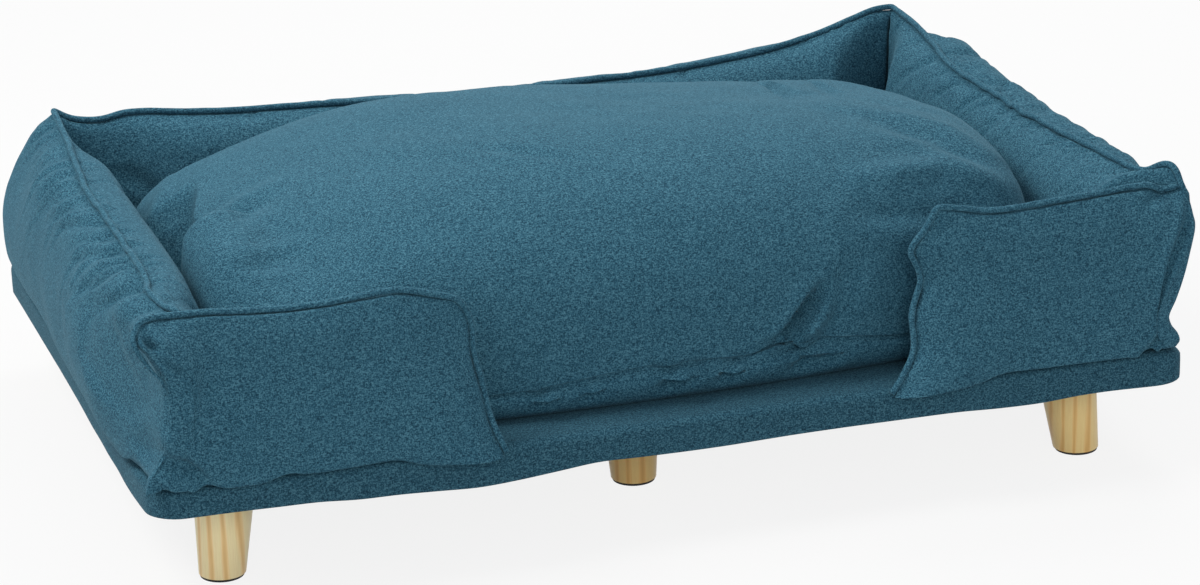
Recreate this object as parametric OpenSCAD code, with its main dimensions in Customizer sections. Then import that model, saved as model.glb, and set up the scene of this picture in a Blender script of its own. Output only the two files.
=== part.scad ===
// Raised sofa bed for a dog: a padded platform on six splayed legs, a bolster ring
// that is open at the front, and a plump loose cushion with a zipped cover.
// X runs along the front, +Y points to the back, Z = 0 is the floor.

/* [Platform] */
// Width of the platform along X
base_w = 970; // [900:10:1100]
// Depth of the platform along Y
base_d = 670; // [620:10:760]
// Radius of the platform's upright corners
base_corner_r = 30; // [20:1:45]
// Height of the platform's underside above the floor
leg_h = 85; // [70:1:110]
// Thickness of the wooden board
board_t = 15; // [12:1:18]
// Thickness of the foam topper
foam_t = 8; // [5:1:15]
// Radius of the soft upper edge
soft_edge_r = 7; // [4:0.5:9]
// Thickness of the upholstery fabric
fabric_t = 1.5; // [1:0.1:2]
// Thickness of the dust cover under the board
dust_t = 0.6; // [0.4:0.1:1]
// Width of the cover's hem turned under the board
hem_w = 35; // [30:1:45]

/* [Legs] */
// Diameter of a leg where it meets the platform
leg_top_d = 57; // [50:1:64]
// Diameter of a leg at the foot
leg_foot_d = 42; // [36:1:46]
// Outward lean of the corner legs along X, in degrees
lean_x = 5.3; // [0:0.1:8]
// Outward lean of all legs along Y, in degrees
lean_y = 5.6; // [0:0.1:8]
// Distance of the corner feet from the platform's ends
foot_in_x = 73; // [65:1:100]
// Distance of the corner feet from the platform's front and back
foot_in_y = 65.5; // [60:0.5:90]
// Distance of the middle feet from the platform's front and back
mid_foot_in_y = 145; // [110:1:180]
// Thickness of the foot pads
pad_t = 2.5; // [1.5:0.5:4]
// Distance of a pad's edge from the foot's edge
pad_in = 1.2; // [0.8:0.1:2]
// Diameter of the hanger bolts
bolt_d = 8; // [6:1:10]
// Depth of a hanger bolt in its leg
bolt_in_leg = 30; // [22:1:38]
// Length of a hanger bolt's pointed end
bolt_tip = 5; // [3:1:7]
// Rise of the bolt's thread in one turn
bolt_pitch = 1.25; // [1:0.05:1.5]
// Diameter of a tee nut's barrel
nut_barrel_d = 10.5; // [10.5:0.1:13]
// Diameter of a tee nut's flange
nut_flange_d = 22; // [20:1:26]
// Thickness of a tee nut's flange
nut_flange_t = 1.5; // [1.2:0.1:2]

/* [Staples] */
// Width of a staple's crown
staple_w = 11; // [8:1:14]
// Depth of a staple's legs
staple_depth = 8; // [6:0.5:9]
// Thickness of the staple wire
staple_wire = 1.1; // [0.8:0.1:1.4]
// Distance of the staples from the platform's edge
staple_in = 26; // [22:1:28]
// Largest distance between staples
staple_pitch = 95; // [70:5:140]

/* [Bolsters] */
// How far the bolsters bulge beyond the platform
bolster_over = 15; // [8:1:20]
// Distance of the side bolsters' top seam from the platform's ends
side_seam_in = 45; // [38:1:55]
// Distance of the back bolster's top seam from the platform's back
back_seam_in = 55; // [45:1:65]
// Distance of the front bolsters' top seam from the platform's front
front_seam_in = 23; // [18:1:30]
// Half width of the side bolsters inside their top seam
side_inner_w = 42; // [36:1:50]
// Half width of the back bolster inside its top seam
back_inner_w = 48; // [40:1:54]
// Height of the top seam above the floor at the back corners
back_corner_h = 281; // [265:1:300]
// Height of the top seam above the floor at the front corners
front_corner_h = 275; // [262:1:295]
// Height of the top seam at the middle of the side bolsters
side_h = 272; // [255:1:290]
// Height of the top seam at the middle of the back bolster
back_h = 247; // [235:1:275]
// Height of the top seam along the front bolsters
front_h = 264; // [245:1:280]
// Height of the top seam at the free end of the front bolsters
front_end_h = 246; // [225:1:262]
// Distance of the left free end from the platform's middle
gap_left = 184; // [150:1:230]
// Distance of the right free end from the platform's middle
gap_right = 228; // [190:1:260]
// Half thickness of a front bolster at its free end
free_end_w = 7; // [5:1:10]
// Diameter of the welt sewn into the top seam
welt_d = 7; // [5:0.5:9]
// Gap between the chamber walls at a corner
corner_gap = 0.6; // [0.4:0.1:1]
// Width of the slit that the filling goes in through
slit_w = 5; // [4:0.5:8]
// Width of the hook and loop tapes
tape_w = 25; // [20:1:30]
// Thickness of each hook or loop tape
tape_t = 1.2; // [0.8:0.1:1.6]

/* [Cushion] */
// Height of the cushion's seam above the floor
cushion_seam_h = 165; // [155:1:180]
// Height of the crown above the seam
crown_h = 150; // [120:1:165]
// Depth of the underside below the seam, before it is flattened
belly_h = 75; // [60:1:90]
// How far the front edge bows out between its ends
front_bow = 34; // [20:1:40]
// Distance of the front edge from the platform's front at its ends
front_edge_in = 77; // [70:1:90]
// Radius of the cushion's corners seen from above
cushion_corner_r = 70; // [50:5:100]
// Gap between the cushion and the bolsters
cushion_gap = 1; // [0.6:0.1:3]
// Gap between the cushion's cover and its insert
insert_gap = 0.5; // [0.4:0.1:1]

/* [Zip] */
// Length of the zip's tapes
zip_l = 640; // [560:10:680]
// Width of each zip tape
zip_tape_w = 12; // [10:0.5:14]
// Thickness of the zip tapes
zip_tape_t = 0.8; // [0.6:0.1:1]
// Width of each row of teeth
teeth_w = 2; // [1.5:0.1:2.5]
// Height of the teeth above the tapes
teeth_h = 1.4; // [1:0.1:2]
// Half width of the line between the two rows of teeth
teeth_gap = 0.5; // [0.45:0.05:0.8]
// Half height of the opening in the cushion's cover
mouth_h = 6.5; // [6:0.5:8]
// Length of the slider along the zip
slider_l = 10; // [8:0.5:14]
// Height of the slider across the zip
slider_w = 9; // [8:0.5:10]
// Thickness of the slider's blades
blade_t = 1; // [0.8:0.1:1.2]
// Distance of the slider from the ends of the zip at its limits
slider_in = 50; // [45:1:70]
// Length of the pull tab beyond its pin
pull_l = 18; // [14:1:20]
// Width of the pull tab
pull_w = 4.6; // [4:0.1:5]
// Thickness of the pull tab
pull_t = 1.4; // [1.2:0.1:1.8]
// Diameter of the pin that the pull tab swings on
pull_pin_d = 1.4; // [1.2:0.1:1.8]

/* [Hidden] */

// Colours
fabric_colour = [0.12, 0.31, 0.39];
wood_colour = [0.85, 0.69, 0.46];
board_colour = [0.72, 0.58, 0.40];
foam_colour = [0.93, 0.90, 0.78];
fibre_colour = [0.95, 0.95, 0.93];
black_colour = [0.07, 0.07, 0.07];
steel_colour = [0.72, 0.73, 0.75];

// Clearances
seat_gap = 0.3;
running_gap = 0.05;
cut_over = 1;

// Turn of a leg's cone about its own axis, which puts its seam beside the lean
quarter_turn = 90;

// Smoothness
$fn = 64;
corner_steps = 6;
edge_steps = 3;

// Heights of the layers of the platform
board_bottom = leg_h + fabric_t + dust_t;
board_top = board_bottom + board_t;
foam_top = board_top + foam_t;
base_top = foam_top + fabric_t;
leg_top = leg_h + fabric_t;
bolster_bottom = base_top + 2 * tape_t + seat_gap;
cushion_bottom = base_top + seat_gap;

// Feet: name, side along X, side along Y, distance of the foot from the platform's long edges
FEET = [
  ["front_left", -1, -1, foot_in_y], ["front_middle", 0, -1, mid_foot_in_y], ["front_right", 1, -1, foot_in_y],
  ["back_left", -1, 1, foot_in_y], ["back_middle", 0, 1, mid_foot_in_y], ["back_right", 1, 1, foot_in_y]
];
function foot_place(foot) = [foot[1] * (base_w / 2 - foot_in_x), foot[2] * (base_d / 2 - foot[3])];
function lean(foot) = [foot[1] * tan(lean_x), foot[2] * tan(lean_y)];
function stud_place(foot) = foot_place(foot) - leg_top * lean(foot);

// Corners of the top seam
seam_x = base_w / 2 - side_seam_in;
seam_back = base_d / 2 - back_seam_in;
seam_front = base_d / 2 - front_seam_in;
side_outer_w = side_seam_in + bolster_over;
back_outer_w = back_seam_in + bolster_over;
front_outer_w = front_seam_in + bolster_over;

// Layers of the zip, measured outwards from the cushion's rear seam
tape_out = seat_gap + zip_tape_t;
teeth_out = tape_out + teeth_h;
blade_out = teeth_out + seat_gap + blade_t;
pull_hub_r = pull_pin_d / 2 + running_gap + pull_t / 2;
pin_out = blade_out + seat_gap + pull_hub_r;
slider_x = zip_l / 2 - slider_in;

// Cushion seen from above
cushion_half_w = seam_x - side_inner_w - cushion_gap;
cushion_rear = seam_back - back_inner_w - cushion_gap - pull_l - pin_out;
function front_edge(x) =
  -(base_d / 2 - front_edge_in) - front_bow * (1 - pow(min(abs(x) / cushion_half_w, 1), 2));

// Quad of a strip between two rows of points, as a pair of triangles
function quad(a, b, c, d) = [[a, b, c], [a, c, d]];
function unit(v) = v / norm(v);

// Solid from a list of rings with the same number of points, closed by a fan at each end.
// Each ring runs clockwise for an eye that looks from the first ring towards the last
module loft(rings) {
  n = len(rings[0]);
  m = len(rings);
  sides = [for (j = [0:m - 2], i = [0:n - 1])
    each quad(j * n + i, (j + 1) * n + i, (j + 1) * n + (i + 1) % n, j * n + (i + 1) % n)];
  first = [for (i = [1:n - 2]) [0, i, i + 1]];
  last = [for (i = [1:n - 2]) [(m - 1) * n, (m - 1) * n + i + 1, (m - 1) * n + i]];
  polyhedron(points = [for (ring = rings) each ring], faces = concat(sides, first, last));
}

// Ring round a rectangle with round corners, anticlockwise from above
function plan_ring(inset, z) =
  let (r = max(base_corner_r - inset, fabric_t))
  [for (c = [0:3], i = [0:corner_steps])
    let (a = 90 * c + 90 * i / corner_steps, sx = (c == 0 || c == 3) ? 1 : -1, sy = c < 2 ? 1 : -1)
    [sx * (base_w / 2 - inset - r) + r * cos(a), sy * (base_d / 2 - inset - r) + r * sin(a), z]];

// Flat plate with round corners and true arcs
module plate(inset, z, t) {
  r = base_corner_r - inset;
  w = base_w - 2 * inset;
  d = base_d - 2 * inset;
  translate([0, 0, z]) linear_extrude(t) {
    square([w - 2 * r, d], center = true);
    square([w, d - 2 * r], center = true);
    for (sx = [-1, 1], sy = [-1, 1]) translate([sx * (w / 2 - r), sy * (d / 2 - r)]) circle(r);
  }
}

// Platform
module base_board() color(board_colour) difference() {
  plate(fabric_t + seat_gap, board_bottom, board_t);
  for (foot = FEET) translate(stud_place(foot)) {
    translate([0, 0, board_bottom - cut_over]) cylinder(h = board_t + 2 * cut_over, d = nut_barrel_d);
    translate([0, 0, board_top - nut_flange_t]) cylinder(h = nut_flange_t + cut_over, d = nut_flange_d);
  }
}

module base_foam() color(foam_colour) {
  inset = fabric_t + seat_gap;
  round_r = min(soft_edge_r - inset, foam_t - 2 * seat_gap);
  loft(concat(
    [plan_ring(inset, board_top)],
    [for (i = [0:edge_steps]) let (a = 90 * i / edge_steps)
      plan_ring(inset + round_r * (1 - cos(a)), foam_top - seat_gap - round_r * (1 - sin(a)))]
  ));
}

module base_cover() color(fabric_colour) {
  inner_r = soft_edge_r - fabric_t;
  loft(concat(
    [for (i = [0:edge_steps]) let (a = 90 * i / edge_steps)
      plan_ring(fabric_t + inner_r * (1 - sin(a)), foam_top - inner_r * (1 - cos(a)))],
    [plan_ring(fabric_t, leg_h + fabric_t), plan_ring(hem_w, leg_h + fabric_t)],
    [plan_ring(hem_w, leg_h), plan_ring(fabric_t, leg_h), plan_ring(0, leg_h + fabric_t)],
    [for (i = [edge_steps:-1:0]) let (a = 90 * i / edge_steps)
      plan_ring(soft_edge_r * (1 - sin(a)), base_top - soft_edge_r * (1 - cos(a)))]
  ));
}

module dust_cover() color(black_colour) difference() {
  plate(fabric_t + board_t, leg_h + fabric_t, dust_t);
  for (foot = FEET) translate(stud_place(foot))
    translate([0, 0, leg_h]) cylinder(h = fabric_t + dust_t + cut_over, d = nut_barrel_d);
}

// One staple, its crown against the hem and its legs up into the board
module staple() {
  translate([-staple_w / 2, -staple_wire / 2, leg_h - staple_wire]) cube([staple_w, staple_wire, staple_wire]);
  for (side = [0, 1]) translate([side * (staple_w - staple_wire) - staple_w / 2, -staple_wire / 2, leg_h - staple_wire])
    cube([staple_wire, staple_wire, staple_depth]);
}

module cover_staples() color(steel_colour) {
  across = base_w - 2 * staple_in;
  deep = base_d - 2 * staple_in;
  nx = ceil(across / staple_pitch);
  ny = ceil(deep / staple_pitch);
  for (side = [-1, 1]) {
    for (i = [0.5:nx]) translate([across * (i / nx - 0.5), side * deep / 2, 0]) staple();
    for (i = [0.5:ny]) translate([side * across / 2, deep * (i / ny - 0.5), 0]) rotate(90) staple();
  }
}

module tee_nuts() color(steel_colour) for (foot = FEET) translate(stud_place(foot)) difference() {
  union() {
    translate([0, 0, board_bottom]) cylinder(h = board_t, d = nut_barrel_d);
    translate([0, 0, board_top - nut_flange_t]) cylinder(h = nut_flange_t, d = nut_flange_d);
  }
  translate([0, 0, board_bottom - cut_over])
    cylinder(h = board_t + 2 * cut_over, d = bolt_d + 2 * running_gap);
}

// Tapes under the bolsters, one strip for each bolster, all short of the corners
module tape_strips(z) {
  end_x = seam_x - 2 * tape_w;
  front_y = seam_front - 2 * tape_w;
  back_y = seam_back - 2 * tape_w;
  translate([-end_x, seam_back - tape_w / 2, z]) cube([2 * end_x, tape_w, tape_t]);
  for (side = [-1, 1]) translate([side * seam_x - tape_w / 2, -front_y, z])
    cube([tape_w, front_y + back_y, tape_t]);
  for (x = [-end_x, gap_right + tape_w])
    translate([x, -seam_front - tape_w / 2, z])
      cube([end_x - (x < 0 ? gap_left : gap_right) - tape_w, tape_w, tape_t]);
}
module hook_tapes() color(black_colour) tape_strips(base_top);
module loop_tapes() color(fabric_colour) tape_strips(base_top + tape_t + seat_gap);

// Legs
module leg(foot) color(wood_colour) {
  place = foot_place(foot);
  stud = stud_place(foot);
  slope = lean(foot);
  tilt = atan(norm(slope));
  turn = atan2(-slope[1], -slope[0]);
  taper = (leg_top_d - leg_foot_d) / leg_top / 2;
  over = leg_foot_d / 2;
  difference() {
    intersection() {
      translate([place[0], place[1], 0]) rotate([0, tilt, turn]) rotate([0, 0, quarter_turn])
        translate([0, 0, -over]) cylinder(h = leg_top + 2 * over,
          r1 = leg_foot_d / 2 - taper * over, r2 = leg_top_d / 2 + taper * over);
      translate([place[0] - leg_top_d, place[1] - leg_top_d, pad_t])
        cube([2 * leg_top_d, 2 * leg_top_d, leg_top - pad_t]);
    }
    translate([stud[0], stud[1], leg_top - bolt_in_leg])
      cylinder(h = bolt_in_leg + cut_over, d = bolt_d + 2 * running_gap);
  }
}

module bolt(foot) color(steel_colour) {
  stud = stud_place(foot);
  translate([stud[0], stud[1], leg_top - bolt_in_leg]) {
    cylinder(h = bolt_tip, d1 = bolt_d / 2, d2 = bolt_d);
    translate([0, 0, bolt_tip]) cylinder(h = bolt_in_leg + board_t - bolt_tip, d = bolt_d);
  }
}

module pad(foot) color(black_colour) translate(foot_place(foot))
  cylinder(h = pad_t, d = leg_foot_d - 2 * pad_in);

// Cross-section of a bolster: shares of its half widths and of its height, from the top seam
// down the inner face, along the underside and up the outer face
PROFILE_shares = [
  [0, 1], [-0.30, 0.96], [-0.68, 0.84], [-0.93, 0.66], [-1, 0.42], [-0.97, 0.20], [-0.84, 0.05], [-0.60, 0],
  [0.60, 0], [0.80, 0.04], [0.95, 0.16], [1, 0.36], [0.93, 0.57], [0.68, 0.80], [0.32, 0.94]
];
floor_k = 7;

// Places of a bolster's middle stations between its corners
SPAN_shares = [0.22, 0.36, 0.5, 0.64, 0.78];
// Share of the full outer width left at a rounded corner, and of the turn at the station before it
round_share = 0.87;
fan_share = 0.45;
// Steepness of the seam's rise towards the corners
rise_power = 3;
// Distance of that station from the corner, as a share of the neighbour's wider half
before_share = 1.15;

// A station of a bolster: place along the seam, half widths outside and inside the seam,
// how far these reach along the seam, and the seam's height
function station(along, outer, inner, outer_reach, inner_reach, height) =
  [along, outer, inner, outer_reach, inner_reach, height];

// Stations of a bolster with a corner at both ends. A corner is given as its place, the
// neighbour's outer and inner half widths, and the seam's height there
function corner_stations(corner, dir, outer, inner, low) =
  let (
    end = station(corner[0] - dir * corner_gap / 2, outer * round_share, inner,
      dir * corner[1] * round_share, dir * corner[2], corner[3]),
    near = station(corner[0] - dir * max(corner[1], corner[2]) * before_share, outer, inner,
      dir * corner[1] * fan_share, dir * corner[2] * fan_share, (corner[3] + low) / 2)
  )
  dir < 0 ? [end, near] : [near, end];
function span_stations(first, last, outer, inner, low) = concat(
  corner_stations(first, -1, outer, inner, low),
  [for (share = SPAN_shares)
    let (end_h = share < 0.5 ? first[3] : last[3], rise = pow(abs(2 * share - 1), rise_power))
    station(first[0] + share * (last[0] - first[0]), outer, inner, 0, 0, low + rise * (end_h - low))],
  corner_stations(last, 1, outer, inner, low)
);

// Half width inside the seam of a front bolster, which follows the cushion's front edge
function front_inner_w(x) = seam_front + front_edge(x) - cushion_gap;

// Stations of a front bolster from its free end to its corner: shares of the way to the corner,
// of the full widths and of the height lost at the free end
FREE_shares = [[0, 0, 2], [0.04, 0.35, 0.9], [0.1, 0.6, 0.3], [0.2, 0.85, 0.04], [0.34, 1, 0], [0.5, 1, 0]];
function front_stations(gap) =
  let (corner = [seam_x, side_outer_w, side_inner_w, front_corner_h])
  concat(
    [for (share = FREE_shares)
      let (x = gap + share[0] * (seam_x - gap))
      station(x, free_end_w + share[1] * (front_outer_w - free_end_w),
        free_end_w + share[1] * (front_inner_w(x) - free_end_w), 0, 0,
        front_h - share[2] * (front_h - front_end_h))],
    [for (s = corner_stations(corner, 1, front_outer_w, front_inner_w(seam_x), front_h))
      station(s[0], s[1], front_inner_w(s[0]), s[3], s[4], s[5])]
  );

// The same stations seen from the other end
function flipped(list) = [for (j = [len(list) - 1:-1:0]) let (s = list[j])
  station(-s[0], s[1], s[2], -s[3], -s[4], s[5])];

// Ring of a bolster in its own frame: along the seam, outwards from it, up. t is the depth
// under the cover's outer face
function bolster_ring(s, t) = [for (share = PROFILE_shares)
  let (
    middle = (s[1] - s[2]) / 2,
    half = (s[1] + s[2]) / 2,
    full = share[0] > 0 ? share[0] * s[1] : share[0] * s[2],
    w = middle + (full - middle) * (half - t) / half,
    reach = w > 0 ? w * s[3] / s[1] : w * s[4] / s[2]
  )
  [s[0] + reach, w, bolster_bottom + t + share[1] * (s[5] - bolster_bottom - 3 * t)]];

// The ring with the two edges of the filling slit added in the middle of its underside
function slit_ring(s, t) = let (ring = bolster_ring(s, t)) concat(
  [for (k = [0:floor_k]) ring[k]],
  [for (side = [-1, 1]) let (w = side * slit_w / 2)
    [s[0] + w * (w > 0 ? s[3] / s[1] : s[4] / s[2]), w, bolster_bottom + t]],
  [for (k = [floor_k + 1:len(ring) - 1]) ring[k]]
);

// Stations for a depth of t under the cover's outer face
function drawn_in(list, t) = [for (j = [0:len(list) - 1])
  let (s = list[j], push = j == 0 ? 2 * t : j == len(list) - 1 ? -2 * t : 0)
  station(s[0] + push, s[1], s[2], s[3], s[4], s[5])];

module bolster_filling(list) color(fibre_colour) {
  depth = fabric_t + seat_gap;
  loft([for (s = drawn_in(list, depth)) slit_ring(s, depth)]);
}

// Cover: an outer and an inner skin, joined round the filling slit between two stations
module bolster_cover(list) color(fabric_colour) {
  outer = [for (s = list) each slit_ring(s, 0)];
  inner = [for (s = drawn_in(list, fabric_t)) each slit_ring(s, fabric_t)];
  m = len(list);
  n = len(outer) / m;
  from = floor(m / 3);
  to = ceil(m * 2 / 3);
  a = floor_k + 1;
  skin = concat(
    [for (j = [0:m - 2], i = [0:n - 1]) if (i != a || j < from || j >= to)
      each quad(j * n + i, (j + 1) * n + i, (j + 1) * n + (i + 1) % n, j * n + (i + 1) % n)],
    [for (i = [1:n - 2]) [0, i, i + 1]],
    [for (i = [1:n - 2]) [(m - 1) * n, (m - 1) * n + i + 1, (m - 1) * n + i]]
  );
  inside = m * n;
  rim = concat(
    [for (j = [from:to]) j * n + a],
    [for (j = [to:-1:from]) j * n + a + 1]
  );
  polyhedron(
    points = concat(outer, inner),
    faces = concat(skin, [for (f = skin) [inside + f[0], inside + f[2], inside + f[1]]], rim_walls(rim, inside))
  );
}

// Walls of an opening through a skin: rim lists its outer corners in the order of the face
// that it leaves out, and each inner corner comes a fixed step later in the points
function rim_walls(rim, step) = [for (k = [0:len(rim) - 1])
  let (p = rim[k], q = rim[(k + 1) % len(rim)])
  each quad(p, q, step + q, step + p)];

// Places of the bolsters' stations
back_stations = span_stations(
  [-seam_x, side_outer_w, side_inner_w, back_corner_h],
  [seam_x, side_outer_w, side_inner_w, back_corner_h],
  back_outer_w, back_inner_w, back_h
);
left_stations = span_stations(
  [-seam_front, front_outer_w, front_inner_w(seam_x), front_corner_h],
  [seam_back, back_outer_w, back_inner_w, back_corner_h],
  side_outer_w, side_inner_w, side_h
);
front_left_stations = front_stations(gap_left);
front_right_stations = flipped(front_stations(gap_right));

// Frames of the bolsters: along, outwards, up
module at_back() translate([0, seam_back, 0]) children();
module at_left() translate([-seam_x, 0, 0]) rotate(90) children();
module at_right() translate([seam_x, 0, 0]) rotate(-90) children();
module at_front() translate([0, -seam_front, 0]) rotate(180) children();

module bolster_back_cover() at_back() bolster_cover(back_stations);
module bolster_left_cover() at_left() bolster_cover(left_stations);
module bolster_right_cover() at_right() bolster_cover(flipped(left_stations));
module bolster_front_left_cover() at_front() bolster_cover(front_left_stations);
module bolster_front_right_cover() at_front() bolster_cover(front_right_stations);

module bolster_back_filling() at_back() bolster_filling(back_stations);
module bolster_left_filling() at_left() bolster_filling(left_stations);
module bolster_right_filling() at_right() bolster_filling(flipped(left_stations));
module bolster_front_left_filling() at_front() bolster_filling(front_left_stations);
module bolster_front_right_filling() at_front() bolster_filling(front_right_stations);

// Top seam from the left free end round to the right one: points and outward directions
function seam_point(x, y, z, out) = [[x, y, z], out];
seam_left = [for (j = [1:len(left_stations) - 2]) let (s = left_stations[j])
  seam_point(-seam_x, s[0], s[5], [-1, 0, 0])];
seam_right = [for (j = [len(left_stations) - 2:-1:1]) let (s = left_stations[j])
  seam_point(seam_x, s[0], s[5], [1, 0, 0])];
seam_rear = [for (j = [1:len(back_stations) - 2]) let (s = back_stations[j])
  seam_point(s[0], seam_back, s[5], [0, 1, 0])];
function seam_stub(list) = [for (s = list) seam_point(-s[0], -seam_front, s[5], [0, -1, 0])];
function seam_corner(sx, sy, h) =
  seam_point(sx * seam_x, sy > 0 ? seam_back : -seam_front, h, unit([sx, sy, 0]));
END_shares = [0.02, 0.35, 0.7];
function seam_end(x) = [for (share = END_shares)
  seam_point(x, -seam_front, bolster_bottom + share * (front_end_h - bolster_bottom), [0, -1, 0])];
left_stub = seam_stub([for (j = [0:len(front_left_stations) - 2]) front_left_stations[j]]);
right_stub = seam_stub([for (j = [1:len(front_right_stations) - 1]) front_right_stations[j]]);
right_end = seam_end(gap_right);
SEAM = concat(
  seam_end(-gap_left), left_stub,
  [seam_corner(-1, -1, front_corner_h)], seam_left, [seam_corner(-1, 1, back_corner_h)], seam_rear,
  [seam_corner(1, 1, back_corner_h)], seam_right, [seam_corner(1, -1, front_corner_h)],
  right_stub, [for (k = [len(right_end) - 1:-1:0]) right_end[k]]
);
welt_sides = 6;
module bolster_welt() color(fabric_colour) {
  last = len(SEAM) - 1;
  r = welt_d / 2;
  loft([for (k = [0:last])
    let (
      ahead = unit(SEAM[min(k + 1, last)][0] - SEAM[max(k - 1, 0)][0]),
      off = unit(cross(ahead, SEAM[k][1])),
      side = cross(off, ahead),
      centre = SEAM[k][0] + (r + seat_gap) * off
    )
    [for (i = [0:welt_sides - 1]) let (a = 360 * i / welt_sides) centre + r * (cos(a) * off - sin(a) * side)]]);
}

// Cushion: a grid of columns along X and rows along Y, with a top and an underside that
// meet in the seam all round
cushion_rows = 12;
mouth_columns = 12;
EDGE_shares = [0, 0.5, 0.82, 0.96, 1];
edge_columns = len(EDGE_shares) - 1;
cushion_columns = mouth_columns + 2 * edge_columns;
mouth_l = zip_l;
function edge_x(k) = mouth_l / 2 + EDGE_shares[k] * (cushion_half_w - mouth_l / 2);
function column_x(i) =
  i < edge_columns ? -edge_x(edge_columns - i)
  : i > edge_columns + mouth_columns ? edge_x(i - edge_columns - mouth_columns)
  : mouth_l * ((i - edge_columns) / mouth_columns - 0.5);

// Shape of the crown and of the belly across and along the cushion
crown_power = 2.4;
crown_side_rise = 0.3;
crown_front_rise = 0.42;
belly_power = 6;
belly_rise = 0.5;
function swell(u, power, rise) = pow(max(1 - pow(abs(u), power), 0), rise);

// Point of the cushion at a depth of t under its outer face; side is 1 above the seam
function cushion_point(i, j, side, t) =
  let (
    u = column_x(i) / cushion_half_w,
    v = sin(90 * (2 * j / cushion_rows - 1)),
    x = u * (cushion_half_w - t),
    past = max(abs(u) * cushion_half_w - cushion_half_w + cushion_corner_r, 0),
    cut = cushion_corner_r - sqrt(max(pow(cushion_corner_r, 2) - pow(past, 2), 0)),
    front = front_edge(u * cushion_half_w) + cut + t,
    rear = cushion_rear - cut - t,
    y = front + (rear - front) * (v + 1) / 2,
    top = (crown_h - t) * swell(u, crown_power, crown_side_rise) * swell(v, crown_power, crown_front_rise),
    belly = belly_h * swell(u, belly_power, belly_rise) * swell(v, belly_power, belly_rise),
    low = max(cushion_bottom + t, cushion_seam_h - belly)
  )
  [x, y, side > 0 ? cushion_seam_h + top : low];

// Numbers of the grid's points: the top first, then the underside, which shares the top's rim
cushion_row_n = cushion_columns + 1;
cushion_grid_n = cushion_row_n * (cushion_rows + 1);
function in_mouth(i, j) = j == cushion_rows && i > edge_columns && i < edge_columns + mouth_columns;
function on_rim(i, j) = i == 0 || i == cushion_columns || j == 0 || j == cushion_rows;
function top_id(i, j) = j * cushion_row_n + i;
function low_id(i, j, open) =
  on_rim(i, j) && !(open && in_mouth(i, j)) ? top_id(i, j) : cushion_grid_n + top_id(i, j);
function cushion_points(t, open) = [for (side = [1, -1], j = [0:cushion_rows], i = [0:cushion_columns])
  let (p = cushion_point(i, j, side, t))
  open && in_mouth(i, j) ? [p[0], p[1], cushion_seam_h + side * mouth_h]
  : on_rim(i, j) ? [p[0], p[1], cushion_seam_h] : p];

// A cell of the grid, its diagonal turned so that no triangle at a corner lies wholly on the rim
function cell(a, b, c, d, i, j) =
  (i < cushion_columns / 2) == (j < cushion_rows / 2) ? quad(a, b, c, d) : quad(b, c, d, a);
function cushion_faces(open) = concat(
  [for (j = [0:cushion_rows - 1], i = [0:cushion_columns - 1])
    each cell(top_id(i, j), top_id(i, j + 1), top_id(i + 1, j + 1), top_id(i + 1, j), i, j)],
  [for (j = [0:cushion_rows - 1], i = [0:cushion_columns - 1])
    each cell(low_id(i, j, open), low_id(i + 1, j, open), low_id(i + 1, j + 1, open), low_id(i, j + 1, open), i, j)]
);

module cushion_insert() color(fibre_colour)
  polyhedron(points = cushion_points(fabric_t + insert_gap, false), faces = cushion_faces(false));

// Cover: an outer and an inner skin, joined round the zip's opening in the rear seam
module cushion_cover() color(fabric_colour) {
  outer = cushion_points(0, true);
  skin = cushion_faces(true);
  inside = len(outer);
  first = edge_columns;
  last = edge_columns + mouth_columns;
  rim = concat(
    [for (i = [last:-1:first]) top_id(i, cushion_rows)],
    [for (i = [first + 1:last - 1]) low_id(i, cushion_rows, true)]
  );
  polyhedron(
    points = concat(outer, cushion_points(fabric_t, true)),
    faces = concat(skin, [for (f = skin) [inside + f[0], inside + f[2], inside + f[1]]], rim_walls(rim, inside))
  );
}

// Zip in the cushion's rear seam, seen from behind: along X, outwards along Y
module at_zip() translate([0, cushion_rear, cushion_seam_h]) children();
module block(low, high) translate(low) cube(high - low);

module zip_tapes() color(fabric_colour) at_zip() for (side = [0, 1]) mirror([0, 0, side])
  block([-zip_l / 2, seat_gap, teeth_gap], [zip_l / 2, tape_out, teeth_gap + zip_tape_w]);

module zip_teeth() color(black_colour) at_zip() for (side = [0, 1]) mirror([0, 0, side])
  block([-zip_l / 2, tape_out, teeth_gap], [zip_l / 2, teeth_out, teeth_gap + teeth_w]);

module zip_stops() color(steel_colour) at_zip() for (side = [0, 1]) mirror([side, 0, 0]) {
  near = slider_x + slider_l / 2 + teeth_gap;
  block([near, teeth_out, -teeth_gap - teeth_w], [near + teeth_w, blade_out, teeth_gap + teeth_w]);
}

module zip_slider() color(steel_colour) at_zip() translate([slider_x, 0, 0]) {
  l = slider_l / 2;
  w = slider_w / 2;
  post = teeth_gap / 2;
  ear = pull_w / 2 + seat_gap;
  block([-l, -blade_t, -w], [l, 0, w]);
  block([-l, blade_out - blade_t, -w], [l, blade_out, w]);
  block([-l / 2, -blade_t, -post], [l / 2, blade_out, post]);
  for (side = [0, 1]) mirror([0, 0, side])
    block([-pull_hub_r, blade_out - blade_t, ear], [pull_hub_r, pin_out + pull_hub_r, ear + pull_hub_r / 2]);
  translate([0, pin_out, -ear - pull_hub_r / 2]) cylinder(h = 2 * ear + pull_hub_r, d = pull_pin_d);
}

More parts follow.
